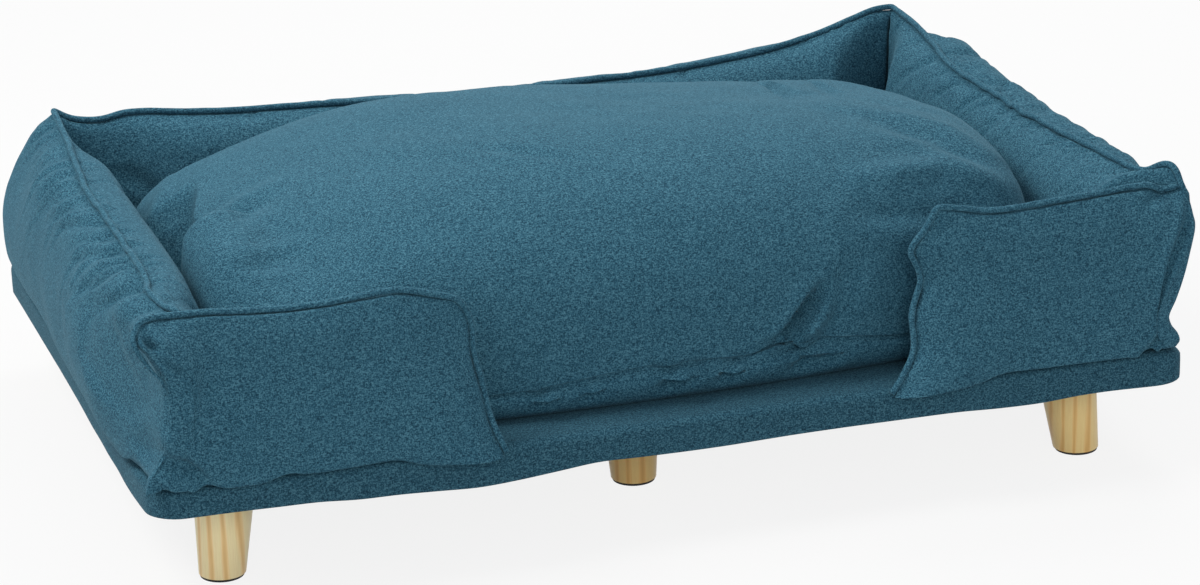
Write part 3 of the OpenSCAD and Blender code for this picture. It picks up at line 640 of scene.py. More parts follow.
# Share of its full width that a free end has, and how far from the end its seam's own line is felt
FREE_WIDTH = [(0, 0.02), (3, 0.16), (8, 0.30), (20, 0.55), (42, 0.80), (78, 0.96), (115, 1)]
FREE_OUT, FREE_ALONG = 90, 120


def from_free_end(spec, a):
    return a - a[0] if spec["free"]["sign"] > 0 else a[-1] - a


def free_end(spec, a, x, w, z, seam_w):
    """The free end of a front bolster: it narrows to its seam, whose place changes with the height."""
    free, along = spec["free"], from_free_end(spec, a)[:, None]
    line_w = seam_w + curve(free["line_w"], z) * step(along, FREE_OUT, 0)
    shift = curve(free["line_a"], z) * step(along, FREE_ALONG, 0)
    return x + shift, line_w + (w - seam_w) * curve(FREE_WIDTH, along)


# Ranges of a gather's width, depth and length, for every third gather and for those between
GATHER_WIDTH = ((3.6, 5.5), (2.2, 3.4))
GATHER_DEPTH = ((0.7, 1.25), (0.25, 0.6))
GATHER_LENGTH = ((0.8, 1.5), (0.4, 0.9))
GATHER_BEND = 0.002


def gathers(spec, arc, side_arc, seed, depth, count, length, slants):
    """Height of the small folds that run from the seam over both faces."""
    rng = np.random.default_rng(seed)
    low, high = spec["span"]
    height = np.zeros_like(side_arc)
    for k in range(count):
        kind = 0 if k % 3 == 0 else 1
        place = low + (high - low) * (k + rng.uniform(-0.5, 1.5)) / count
        wide = rng.uniform(*GATHER_WIDTH[kind])
        deep = depth * rng.uniform(*GATHER_DEPTH[kind])
        for sign, slant_range in zip((-1, 1), slants):
            slant = rng.uniform(*slant_range)
            bend = rng.uniform(-GATHER_BEND, GATHER_BEND)
            long = length * rng.uniform(*GATHER_LENGTH[kind])
            d = side_arc * sign
            off = arc - place - slant * d - bend * d * d
            fade = bell(np.clip(d, 0, None) / long) * step(d, -1, 5)
            height -= deep * fade * groove(off, wide, GATHER_LIP)
    return height


# How far the cloth sags over the platform's edge, where it does, and how unevenly
SAG_LEFT, SAG_RIGHT = 10.0, 7.0
SAG_OUT, SAG_LOW, SAG_HIGH = 6.5, 116, 160
SWAY_SIZE, SWAY_SEED = 90, 13


def hang_over(p):
    """Below the seam the cloth sags a little over the platform's edge, by a different amount along it."""
    beyond = np.maximum(np.abs(p[:, :, 0]) - BASE_W / 2, np.abs(p[:, :, 1]) - BASE_D / 2)
    plan = p.reshape(-1, 3) * np.array([1, 1, 0])
    sway = 0.75 + 0.25 * noise(plan, SWAY_SIZE, SWAY_SEED).reshape(beyond.shape)
    sag = np.where(p[:, :, 0] > 0, SAG_RIGHT, SAG_LEFT) * step(beyond, 0, SAG_OUT)
    p[:, :, 2] -= sag * (1 - step(p[:, :, 2], SAG_LOW, SAG_HIGH)) * sway
    return p


# Sideways shift of the cloth at the front corners, by height: the left one is drawn in under its ear, the
# right one is pinched at mid height and flared at the foot
LEFT_SHIFT = [(106, 5), (120, 5), (134, 11), (160, 22), (214, 26), (236, 15), (250, 3), (256, 0)]
RIGHT_SHIFT = [(106, -15), (114, -15), (124, -14), (134, -22), (146, -26), (162, -20), (180, -14), (202, -8),
               (230, -2), (255, 0)]


def corner_shift(p):
    x, y, z = p[:, :, 0], p[:, :, 1], p[:, :, 2]
    left = curve(LEFT_SHIFT, z) * step(-x, 425, 480) * step(-y, 180, 306)
    right = curve(RIGHT_SHIFT, z) * step(x, 455, 490) * step(-y, 150, 290)
    return left + right


def seam_distance(world):
    """Distance round each ring from the seam: below 0 on the inner face, above 0 on the outer one."""
    hops = np.linalg.norm(np.diff(world, axis=1, append=world[:, :1]), axis=2)
    before = np.concatenate([np.zeros((len(world), 1)), np.cumsum(hops, axis=1)[:, :-1]], axis=1)
    total = hops.sum(axis=1, keepdims=True)
    return np.where(before < total / 2, -before - 1e-3, total - before)


# Lumps of the stuffing as (height, size, seed), and the most that the inner face may stand out
BOLSTER_LUMPS = ((2.6, 95, 3), (1.3, 42, 5), (0.35, 15, 7))
INNER_ROOM = 0.6
# Swell of the cloth over this breadth beside the seam, and the small roll that the welt's stitches leave
SWELL, SWELL_WIDTH = 2.0, 60
ROLL, ROLL_PLACE, ROLL_WIDTH = 1.2, 4.8, 2.2
# Depth of the crease down a corner, and how narrow it is
CREASE, CREASE_SHARP = 2.2, 9


def bolster_height(spec, grid, world, a, q, gather):
    """How far the cloth stands out: stuffing, gathers, the swell beside the seam, creases and folds."""
    rows, cols = world.shape[:2]
    flat = world.reshape(-1, 3)
    side_arc = seam_distance(world)
    near_seam = np.minimum(np.abs(side_arc), SWELL_WIDTH)
    settle = step(grid[:, :, 2], BOLSTER_Z + 2, BOLSTER_Z + 22)
    q = q[:, None]
    height = lumps(flat, BOLSTER_LUMPS).reshape(rows, cols)
    height = height + gathers(spec, grid[:, :1, 0] + 0 * side_arc, side_arc, *gather)
    height = height * step(near_seam, -3, 6)
    height = height + SWELL * step(near_seam, 3, 26) * step(near_seam, SWELL_WIDTH, 30)
    height = height + ROLL * bell((near_seam - ROLL_PLACE) / ROLL_WIDTH)
    height = height * settle
    height = height * (1 - step(q, 0.55, 1.0))
    height = height - CREASE * bell((1 - q) * CREASE_SHARP) * (q > 0) * settle * step(near_seam, 4, 20)
    if "free" in spec:
        height = height * (0.15 + 0.85 * step(from_free_end(spec, a), 0, 45))[:, None]
    height = height + fold_height(flat, BOLSTER_FOLDS).reshape(rows, cols)
    return np.where(grid[:, :, 1] < 0, np.minimum(height, INNER_ROOM), height)


# The filling's size as a share of the bolster's, and the stations left out at a free end and at a corner
FILL_SHARE = 0.80
FREE_ROWS, CORNER_ROWS = 14, 24


def build_bolster(name, spec, place, gather):
    grid, a, q = bolster_grid(spec)
    rows, cols = grid.shape[:2]
    world = put(grid.reshape(-1, 3), *place).reshape(rows, cols, 3)
    normals = -grid_normals(world, closed_cols=True)
    moved = world + normals * bolster_height(spec, grid, world, a, q, gather)[:, :, None]
    moved[:, :, 0] += corner_shift(world)
    moved = hang_over(moved)
    piece = add_mesh(name, moved.reshape(-1, 3), tube_faces(rows, cols), upholstery, "bolster")
    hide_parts(name + "_cover")
    sign = spec["free"]["sign"] if "free" in spec else 0
    first = FREE_ROWS if sign > 0 else CORNER_ROWS
    last = rows - (FREE_ROWS if sign < 0 else CORNER_ROWS)
    middle = moved.mean(axis=1, keepdims=True)
    inside = (middle + FILL_SHARE * (moved - middle))[first:last:3, ::3]
    faces = tube_faces(*inside.shape[:2])
    fill = add_mesh(name + "_filling", inside.reshape(-1, 3), faces, fibre, "bolster")
    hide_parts(name + "_filling")
    return moved


def put(p, along, out, reach):
    """A bolster's points in the scene. Its seam runs along and its outer face looks out, each as (x, y)."""
    w = reach + p[:, 1]
    return np.stack([along[0] * p[:, 0] + out[0] * w, along[1] * p[:, 0] + out[1] * w, p[:, 2]], 1)


# Corner points of the seam, as the photo shows them: x, y, z
BACK_LEFT, BACK_RIGHT = (-436.0, 284.0), (443.0, 286.0)
FRONT_LEFT, FRONT_RIGHT = (-482.0, -320.0), (494.0, -317.0)
LEFT_OUT, RIGHT_OUT, BACK_OUT, FRONT_OUT = -498.0, 505.0, 350.0, -343.0
LEFT_IN, RIGHT_IN, BACK_IN, FRONT_IN = -398.5, 398.5, 232.5, -259.0

# The corners: the seam's place, and the places of the outer and the inner face
CORNERS = {
    "back_left": (BACK_LEFT, (LEFT_OUT + 6, BACK_OUT), (LEFT_IN, BACK_IN)),
    "back_right": (BACK_RIGHT, (RIGHT_OUT, BACK_OUT), (RIGHT_IN, BACK_IN)),
    "front_left": (FRONT_LEFT, (LEFT_OUT, FRONT_OUT), (LEFT_IN, FRONT_IN)),
    "front_right": (FRONT_RIGHT, (RIGHT_OUT, FRONT_OUT), (RIGHT_IN, FRONT_IN)),
}
ALONG_X, ALONG_Y = 0, 1


def corner(name, axis):
    """(outer, inner) reach of the neighbour at a corner, along the axis on which the bolster runs."""
    pivot, outer, inner = CORNERS[name]
    return abs(outer[axis] - pivot[axis]), abs(inner[axis] - pivot[axis])


BACK = {
    "span": (BACK_LEFT[0], BACK_RIGHT[0]), "zone": 105.0, "puff": 0.4,
    "start_shape": "slim", "end_shape": "half_slim",
    "start": corner("back_left", ALONG_X), "end": corner("back_right", ALONG_X),
    "seam_w": [(-436, 4), (-380, 2), (-200, 0), (100, 0), (300, 2), (443, 6)],
    "seam_z": [(-436, 271), (-422, 262), (-405, 257), (-388, 256), (-366, 260), (-290, 253), (-189, 247),
               (-85, 241), (19, 238), (125, 237), (178, 237), (232, 240), (286, 244), (341, 252), (396, 267),
               (423, 275), (443, 275)],
    "outer": [(-436, 70), (443, 70)],
    "inner": [(-436, -47.5), (443, -47.5)],
}
LEFT = {
    "span": (FRONT_LEFT[1], BACK_LEFT[1]), "zone": 100.0, "puff": 0.2,
    "start_shape": "boxy", "end_shape": "slim", "face": TUCKED, "inner_face": FULL_IN,
    "start": corner("front_left", ALONG_Y), "end": corner("back_left", ALONG_Y),
    "seam_w": [(-320, 42), (-315, 32), (-309, 20), (-300, 13), (-290, 13), (-276, 15), (-258, 18),
               (-242, 19), (-222, 15), (-180, 13), (-35, 12), (30, 12.5), (58, 12), (85, 10), (111, 7.7),
               (154, 4), (202, 0), (247, -2.8), (284, -4)],
    "seam_z": [(-320, 265), (-311, 266), (-290, 265), (-200, 268), (-60, 266), (100, 266), (220, 268),
               (284, 271)],
    "outer": [(-320, 58), (-250, 60), (-190, 63), (-120, 62), (150, 57), (230, 54), (284, 52)],
    "inner": [(-320, -41.5), (-306, -36), (-285, -32), (-240, -36), (-170, -41.5), (284, -41.5)],
}
RIGHT = {
    "span": (-BACK_RIGHT[1], -FRONT_RIGHT[1]), "zone": 100.0, "puff": 1.0,
    "start_shape": "short_slim", "end_shape": "short_boxy",
    "start": corner("back_right", ALONG_Y), "end": corner("front_right", ALONG_Y),
    "seam_w": [(-286, 3), (-240, 4), (-191, 3), (-120, -5), (-74, -6), (0, 1), (70, 4), (130, 12), (187, 21),
               (262, 33), (280, 38), (295, 46), (309, 52), (317, 54)],
    "seam_z": [(-286, 275), (-240, 273), (-120, 267), (40, 264), (150, 265), (240, 266), (262, 266),
               (280, 270), (288, 275), (295, 279), (303, 280), (309, 276), (317, 264)],
    "outer": [(-286, 62), (-180, 58), (-100, 60), (100, 61), (317, 65)],
    "inner": [(-286, -41.5), (317, -41.5)],
}

# The cushion's half width, its front edge at the sides, how far that bows out, and the front bolsters' room
CUSHION_HALF, CUSHION_SIDE, CUSHION_BOW = 397.0, -258.0, 34.0
STUB_ROOM = 4.2


def cushion_front(x):
    """Front edge of the cushion."""
    u = np.clip(np.abs(x) / CUSHION_HALF, 0, 1)
    return CUSHION_SIDE - CUSHION_BOW * (1 - u**2)


def stub_inner(low, high):
    """Inner face of a front bolster, as knots in its own frame."""
    return [(a, -SEAM_FRONT - cushion_front(a) + STUB_ROOM) for a in np.linspace(low, high, 9)]


FRONT_LEFT_STUB = {
    "span": (186.0, -FRONT_LEFT[0]), "zone": 82.0, "puff": 0.0, "end_shape": "tip", "face": FLAT,
    "start": None, "end": corner("front_left", ALONG_X),
    "seam_w": [(186, 1), (300, 0), (440, 1), (465, 3), (482, 8)],
    "seam_z": [(186, 247), (196, 251), (211, 256), (241, 261), (280, 259), (355, 257), (420, 263), (458, 266),
               (472, 267), (482, 265)],
    "outer": [(186, 29), (400, 30), (482, 31)],
    "inner": stub_inner(186, 390) + [(482, -54)],
    "free": {
        "sign": 1,
        "line_a": [(112, -20), (124, -12), (140, -8), (159, -6), (201, 2), (224, 2), (240, 8), (252, 20)],
        "line_w": [(112, 31), (130, 19), (159, 8), (201, 2), (250, 0)],
    },
}
FRONT_RIGHT_STUB = {
    "span": (-FRONT_RIGHT[0], -236.0), "zone": 82.0, "puff": 0.0, "start_shape": "tip", "face": FLAT,
    "start": corner("front_right", ALONG_X), "end": None,
    "seam_w": [(-494, 5), (-480, 3), (-440, 0), (-300, 0), (-236, 1)],
    "seam_z": [(-494, 264), (-481, 262), (-463, 266), (-446, 266.5), (-422, 265), (-364, 262.5), (-349, 262),
               (-296, 263), (-262, 269), (-236, 273)],
    "outer": [(-494, 31), (-400, 30), (-236, 29)],
    "inner": [(-494, -54)] + stub_inner(-390, -236),
    "free": {
        "sign": -1,
        "line_a": [(112, 36), (125, 19), (138, 7), (173, 5), (190, 0), (207, -5), (222, 0), (235, 5),
                   (255, -10), (274, -20)],
        "line_w": [(112, 30), (138, 10), (173, 3), (207, 0), (250, 0)],
    },
}

# Slants of the gathers on the inner and the outer face
EVEN_SLANTS = ((-0.35, 0.5), (-0.35, 0.5))

# Each bolster's shape, how it is put in the scene, and its gathers: seed, depth, count, length, slants
BOLSTERS = {
    "back": (BACK, ((1, 0), (0, 1), SEAM_BACK), (11, 2.4, 32, 26, EVEN_SLANTS)),
    "left": (LEFT, ((0, 1), (-1, 0), SEAM_X), (23, 2.7, 44, 56, ((-0.1, 0.5), (0.2, 0.8)))),
    "right": (RIGHT, ((0, -1), (1, 0), SEAM_X), (37, 4.0, 42, 46, ((-1.1, -0.4), (-0.2, 0.5)))),
    "front_left": (FRONT_LEFT_STUB, ((-1, 0), (0, -1), SEAM_FRONT), (41, 0.8, 12, 14, EVEN_SLANTS)),
    "front_right": (FRONT_RIGHT_STUB, ((-1, 0), (0, -1), SEAM_FRONT), (53, 0.8, 12, 14, EVEN_SLANTS)),
}
grids = {side: build_bolster("bolster_" + side, *facts) for side, facts in BOLSTERS.items()}


# Welt: one cord of cloth along the seam of all the bolsters and down both free ends
WELT_RADIUS, WELT_SIDES, WELT_GAP = 3.0, 12, 2.6
# Uneven as sewn cloth is, as (height, size, seed) along each axis and of its thickness
WELT_WOBBLE = ((0.9, 26, 61), (0.9, 26, 62), (0.7, 30, 63))
WELT_UNEVEN = (0.07, 11, 64)


def sweep(path, radius):
    """Points and faces of a cord along the path."""
    path = np.asarray(path, float)
    ahead = np.gradient(path, axis=0)
    ahead /= np.linalg.norm(ahead, axis=1, keepdims=True)
    up = np.zeros_like(path)
    last = np.array([0.0, 0.0, 1.0])
    for i, t in enumerate(ahead):
        last = unit(last - t * last.dot(t))
        up[i] = last
    side = np.cross(ahead, up)[:, None]
    angle = np.linspace(0, 2 * math.pi, WELT_SIDES, endpoint=False)[None, :, None]
    rings = path[:, None] + radius[:, None, None] * (np.cos(angle) * up[:, None] + np.sin(angle) * side)
    return rings.reshape(-1, 3), tube_faces(len(path), WELT_SIDES)


def join(parts):
    """One list of points and one of faces from several (points, faces)."""
    points, faces, count = [], [], 0
    for some_points, some_faces in parts:
        points.append(some_points)
        faces += [tuple(i + count for i in f) for f in some_faces]
        count += len(some_points)
    return np.concatenate(points), faces


def resample(path, gap):
    path = np.asarray(path, float)
    hops = np.linalg.norm(np.diff(path, axis=0), axis=1)
    path = path[np.concatenate([[True], hops > 1e-6])]
    s = lengths(path)
    t = np.linspace(0, s[-1], max(2, int(s[-1] / gap)))
    return np.stack([np.interp(t, s, path[:, k]) for k in range(3)], 1)


def soften(path, rounds):
    path = path.copy()
    for _ in range(rounds):
        path[1:-1] = (path[:-2] + 2 * path[1:-1] + path[2:]) / 4
    return path


# Share of a ring on its inner face, how far above the platform the cord stops, and where its foot goes
INNER_SHARE = 0.40
END_STOP = 6
END_FOOT = np.array([0, 3.0, 3.0])


def end_line(ring):
    """Seam down a free end: the middle between the two faces, from the top to the underside."""
    cols = len(ring)
    half = []
    for inner in ring[1:int(cols * INNER_SHARE)]:
        outer_k = cols - 1 - np.argmin(np.abs(ring[::-1][: cols // 2, 2] - inner[2]))
        half.append((inner + ring[outer_k]) / 2)
    outer_half = ring[cols // 2:]
    foot = outer_half[np.argmin(outer_half[:, 2])] + END_FOOT
    return np.array([p for p in half if p[2] > BOLSTER_Z + END_STOP] + [foot])


# The cord's path round the front left ear, its tucked start behind it, and its end at the front right ear
LEFT_EAR = [(-487, -326, 263), (-491, -330, 257), (-491, -334, 250), (-488, -337, 243), (-483, -339, 236),
            (-478, -341, 228), (-470, -342, 219), (-468, -343, 205)]
LEFT_TUCK = [(-443, -312, 265), (-447, -305, 267), (-451, -297, 268)]
RIGHT_EAR = [(497, -319, 259), (497, -323, 252)]


def welt_run(path, thin_start=0, thin_end=0):
    """A cord along the path, thinner over the first or last few points where it is tucked in."""
    path = soften(resample(path, WELT_GAP), 3)
    path = path + np.stack([height * noise(path, size, seed) for height, size, seed in WELT_WOBBLE], 1)
    radius = WELT_RADIUS * (1 + lumps(path, [WELT_UNEVEN]))
    place = np.arange(len(path))
    for thin, from_end in ((thin_start, place), (thin_end, place[::-1])):
        if thin:
            radius *= 0.3 + 0.7 * step(from_end, 0, thin)
    return sweep(path, radius)


# How near to the sight and how far along it cloth is looked for, and how far the cord sinks into it
SIGHT_NEAR, SIGHT_FAR, EAR_SINK = 6.0, 40.0, 1.5


def onto_cloth(path, cloth):
    """The path's points slid along the camera's line of sight to the cloth."""
    placed = []
    for point in np.asarray(path, float):
        sight = unit(point - CAMERA_MM)
        deep = (cloth - point) @ sight
        off = np.linalg.norm(cloth - point - deep[:, None] * sight, axis=1)
        hit = deep[(off < SIGHT_NEAR) & (np.abs(deep) < SIGHT_FAR)]
        placed.append(point + sight * (hit.min() + EAR_SINK) if len(hit) else point)
    return placed


# The ear's cloth lies above this height, and the left seam's cord starts behind this Y
EAR_CLOTH_Z, LEFT_TOP_START = 180, -291
# How far the cord stands off at the left and the right free end
LEFT_STAND_OFF, RIGHT_STAND_OFF = np.array([2.4, -0.6, 0]), np.array([-2.4, -0.6, 0])


def build_welt():
    top = {side: grid[:, 0] + np.array([0, 0, CORD_LIFT]) for side, grid in grids.items()}
    corner_cloth = np.concatenate([
        grid[grid[:, :, 2] > EAR_CLOTH_Z] for grid in (grids["left"], grids["front_left"])
    ])
    left_ear = onto_cloth(LEFT_EAR, corner_cloth)
    left_end = end_line(grids["front_left"][0]) + LEFT_STAND_OFF
    right_end = end_line(grids["front_right"][-1]) + RIGHT_STAND_OFF
    left_top = top["left"][top["left"][:, 1] > LEFT_TOP_START]
    points, faces = join([
        welt_run(np.concatenate([left_end[::-1], top["front_left"], left_ear]), thin_end=26),
        welt_run(np.concatenate([LEFT_TUCK, left_top, top["back"], top["right"], RIGHT_EAR]),
                 thin_start=4, thin_end=5),
        welt_run(np.concatenate([top["front_right"], right_end]), thin_start=3),
    ])
    piece = add_mesh("bolster_piping", points, faces, upholstery, "bolster")
    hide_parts("bolster_welt")


build_welt()


# Cushion: one plump pillow with a seam all round
CUSHION_W = 396.0
CUSHION_REAR = 207.0
CUSHION_R = 70.0
CUSHION_FLOOR = 112.2
CROWN = 315.0


# Folds of the cushion, as places (x, y, z) on it: the pinch at its left end, soft pulls beside it, ridges
# that run to the right end, the deep fold over the front seam, and the creases of the strip under that seam
CUSHION_FOLDS = [
    ([(-375, -57, 280), (-375, 1, 243), (-375, 62, 205)], 5.0, -7.0),
    ([(-351, 161, 228), (-370, 128, 220), (-384, 90, 205)], 7.0, -4.0),
    ([(-362, -46, 231), (-337, -52, 251), (-300, -52, 266)], 6.0, 3.4),
    ([(-352, -20, 240), (-320, -26, 260), (-272, -22, 281)], 6.0, -3.0),
    ([(-355, -131, 227), (-328, -144, 242), (-296, -160, 252)], 8.0, 3.4),
    ([(-350, -95, 234), (-318, -108, 252), (-285, -118, 264)], 7.0, 2.6),
    ([(-240, -40, 288), (-180, -95, 302), (-110, -150, 310)], 12.0, 1.6),
    ([(240, -50, 297), (300, -100, 292), (331, -134, 285), (362, -200, 259)], 9.0, -3.6),
    ([(262, -128, 297), (285, -145, 294), (311, -164, 287), (335, -190, 276), (362, -212, 256)], 6.0, 5.0),
    ([(210, -225, 280), (299, -215, 274), (339, -222, 260), (375, -213, 240)], 10.0, -7.0),
    ([(200, -262, 258), (262, -256, 248), (330, -250, 236)], 10.0, 5.0),
    ([(290, -30, 288), (335, -50, 272), (372, -90, 250)], 10.0, 5.0),
    ([(225, -10, 294), (232, 60, 284), (236, 130, 262)], 26.0, 9.0),
    ([(275, -10, 288), (280, 60, 276), (285, 120, 258)], 22.0, 5.0),
    ([(160, -270, 196), (148, -276, 185), (134, -281, 172), (120, -286, 159), (107, -288, 152),
      (86, -289, 147)], 4.6, 17.0),
    ([(172, -272, 186), (158, -277, 172), (143, -283, 160), (130, -287, 150)], 7.0, -7.0),
    ([(200, -260, 214), (176, -272, 189), (157, -280, 167)], 10.0, 4.0),
    ([(24, -288, 137), (10, -288, 129), (-4, -286, 119)], 7.0, 11.0),
    ([(170, -288, 138), (158, -288, 129), (148, -286, 120)], 5.0, 8.0),
    ([(150, -288, 136), (136, -288, 127), (122, -286, 117)], 7.0, 11.0),
    ([(-104, -288, 131), (-114, -288, 125), (-124, -286, 118)], 6.0, 8.0),
    ([(74, -288, 137), (63, -288, 129), (50, -286, 119)], 5.0, 7.0),
    ([(-62, -288, 133), (-71, -288, 126), (-80, -286, 119)], 5.0, 6.0),
    ([(-123, -113, 314), (-70, -162, 313), (-34, -184, 308)], 3.0, 1.6),
    ([(-60, -250, 290), (10, -268, 262), (60, -280, 230)], 16.0, 2.4),
]


# Where the pocket at the left end begins, as (y, x), and how far it goes along the end
PINCH = [(-100, -396), (-52, -381), (0, -365), (50, -350), (105, -333)]
POCKET_FRONT, POCKET_BACK = (-92, -48), (30, 108)


def pocket(x, y, room):
    """How far beyond the pinch at the left end the points are, and the share of the pocket there. The room
    makes the pocket larger on all sides, for the filling inside."""
    beyond = curve(PINCH, y) + room - x
    front, back = (step(y, low + way * room, high + way * room) for way, (low, high) in
                   ((-1, POCKET_FRONT), (1, POCKET_BACK)))
    return beyond, front * (1 - back)


def cliff(x, y):
    """How much fuller the cloth is in front of the pocket."""
    return 40.0 * step(-x, 300, 378) * step(y, -245, -130) * (1 - step(y, -70, -48))


# Height of the seam along the front, and at the sides and the back
FRONT_SEAM_Z = [
    (-400, 162), (-300, 148), (-150, 141), (-111, 143), (-60, 148), (-14, 151), (36, 150), (86, 148),
    (108, 152), (132, 155), (180, 150), (229, 143), (300, 146), (400, 162),
]
REAR_SEAM_Z = 164.0


def cushion_seam_z(x, y):
    """Height of the seam: low along the front, higher at the sides and the back."""
    front = curve(FRONT_SEAM_Z, x)
    return np.where(y < 0, front + (REAR_SEAM_Z - front) * step(y, -230, -60), REAR_SEAM_Z)


# The cushion's grid is fine towards its seam. Below the seam the cloth turns in to the stitches and out
# again, then drops to the floor: by the number of grid lines from the seam, the share of the drop and the
# reach outwards
CUSHION_COLS, CUSHION_ROWS = 250, 200
EDGE_PACKING = 2.2
PANEL_DROP = [
    (0, 0), (1, 0.025), (2, 0.055), (3, 0.09), (4, 0.13), (5, 0.18), (6, 0.24), (8, 0.37), (10, 0.51),
    (12, 0.64), (14, 0.75), (16, 0.84), (18, 0.91), (20, 0.96), (23, 1), (400, 1),
]
PANEL_OUT = [
    (0, 0), (1, -2.4), (2, -3.4), (3, -2.4), (4, -0.8), (5, 0.9), (7, 2.8), (9, 3.4), (12, 2.8),
    (16, 0.6), (20, -1.5), (30, 0), (400, 0),
]
# The pocket: how much larger it is for the filling, how far it pushes the end in, its depth and its slope
POCKET_ROOM, POCKET_PUSH, POCKET_REACH = 1.6, 0.85, 38
POCKET_DEPTH, POCKET_SLOPE = 72.0, 18


def packed(count):
    """Places from -1 to 1, closer together towards both ends."""
    places = np.linspace(-1, 1, count)
    return np.sign(places) * (1 - (1 - np.abs(places)) ** EDGE_PACKING)


def from_ends(count):
    """Number of steps to the nearer end."""
    return np.minimum(np.arange(count), np.arange(count)[::-1])


def cushion_grids(depth=0.0):
    """Points of the cushion's top and of the cloth below its seam, and the share of the full height of the
    top. The depth takes both in on all sides, for the filling inside."""
    U, V = np.meshgrid(packed(CUSHION_COLS), packed(CUSHION_ROWS))
    past = np.maximum(np.abs(U) * CUSHION_W - CUSHION_W + CUSHION_R, 0)
    cut = CUSHION_R - np.sqrt(np.maximum(CUSHION_R**2 - past**2, 0))
    x = U * (CUSHION_W - depth)
    front = cushion_front(U * CUSHION_W) + cut + depth
    rear = CUSHION_REAR - cut - depth
    y = front + (rear - front) * (V + 1) / 2
    along = np.maximum(1 - np.abs(U) ** 3.33, 0) ** 0.213
    power = np.where(V < 0, 0.34, 0.17)
    room = POCKET_ROOM * depth
    beyond, share = pocket(x, y, room)
    push = POCKET_PUSH * np.clip(beyond, 0, POCKET_REACH + room) * share
    edge = along * np.maximum(1 - np.abs(V) ** np.where(V < 0, 2.1, 1.9), 0) ** power
    seam = cushion_seam_z(x, y)
    lean = 1 - 0.097 * U - 0.26 * U**2 + 0.33 * U**3 - V * (0.11 + 0.17 * U)
    top = seam + (CROWN - depth - seam) * edge * lean
    top = top - (POCKET_DEPTH + depth) * step(beyond, 0, POCKET_SLOPE) * share * step(edge, 0.1, 0.5)
    top = top + cliff(x, y) * step(edge, 0.02, 0.55)
    x = x + push
    from_side = from_ends(CUSHION_COLS)[None, :] + 0 * U
    from_front = from_ends(CUSHION_ROWS)[:, None] + 0 * U
    ring = np.minimum(from_side, from_front)
    low = seam - (seam - CUSHION_FLOOR) * curve(PANEL_DROP, ring)
    low = np.minimum(np.maximum(low, CUSHION_FLOOR) + depth, seam)
    out = curve(PANEL_OUT, ring) * (1 - step(y, 80, 170)) * (depth == 0)
    by_side = from_side < from_front
    low_x = x + np.where(by_side, np.sign(U) * out, 0)
    low_y = y + np.where(by_side, 0, np.sign(V) * out)
    return np.stack([x, y, top], 2), np.stack([low_x, low_y, low], 2), edge


CUSHION_LUMPS = ((4.0, 150, 21), (1.6, 62, 22), (0.5, 24, 23))


def build_cushion():
    top, low, edge = cushion_grids()
    rows, cols = top.shape[:2]
    normals = grid_normals(top)
    normals *= np.sign(normals[rows // 2, cols // 2, 2])
    flat = top.reshape(-1, 3)
    height = lumps(flat, CUSHION_LUMPS).reshape(rows, cols) * step(edge, 0.25, 0.75)
    height += fold_height(flat, CUSHION_FOLDS).reshape(rows, cols) * step(edge, -0.02, 0.03)
    top = top + normals * height[:, :, None]
    top[:, :, 0] = np.clip(top[:, :, 0], -CUSHION_W - 1, CUSHION_W + 1)
    top[:, :, 1] = np.minimum(top[:, :, 1], CUSHION_REAR)
    low_normals = -grid_normals(low)
    low_normals *= np.where(low_normals[:, :, 2:] > 0, -1, 1)
    low_height = fold_height(low.reshape(-1, 3), CUSHION_FOLDS).reshape(rows, cols)
    low_height = low_height * step(low[:, :, 2], CUSHION_FLOOR + 1, 130)
    low = low + low_normals * low_height[:, :, None]
    points = top.reshape(-1, 3).tolist()
    low_id = {}
    for r in range(rows):
        for c in range(cols):
            if r in (0, rows - 1) or c in (0, cols - 1):
                low_id[r, c] = r * cols + c
            else:
                low_id[r, c] = len(points)
                points.append(low[r, c].tolist())
    faces = grid_faces(rows, cols, flip=True)
    for r in range(rows - 1):
        for c in range(cols - 1):
            faces.append((low_id[r, c], low_id[r + 1, c], low_id[r + 1, c + 1], low_id[r, c + 1]))
    piece = add_mesh("cushion", np.array(points), faces, upholstery, "cushion")
    piece.data.set_sharp_from_angle(angle=math.radians(50))
    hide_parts("cushion_cover")


build_cushion()


def build_cushion_fill():
    top, low, _ = cushion_grids(20.0)
    top, low = top[::4, ::4], low[::4, ::4]
    rows, cols = top.shape[:2]
    n = rows * cols
    points = np.concatenate([top.reshape(-1, 3), low.reshape(-1, 3)])
    faces = grid_faces(rows, cols, flip=True)
    faces += [tuple(i + n for i in f) for f in grid_faces(rows, cols)]
    rim = list(range(cols)) + [r * cols + cols - 1 for r in range(1, rows)]
    rim += [(rows - 1) * cols + c for c in reversed(range(cols - 1))]
    rim += [r * cols for r in reversed(range(1, rows - 1))]
    for a, b in zip(rim, rim[1:] + rim[:1]):
        faces.append((a, b, b + n, a + n))
    piece = add_mesh("cushion_filling", points, faces, fibre, "cushion")
    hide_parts("cushion_insert")


build_cushion_fill()


# Platform: cloth pulled over the board and the foam
QUARTERS = ((1, 1), (-1, 1), (-1, -1), (1, -1))
CORNER_POINTS, RING_STEP = 10, 9.0


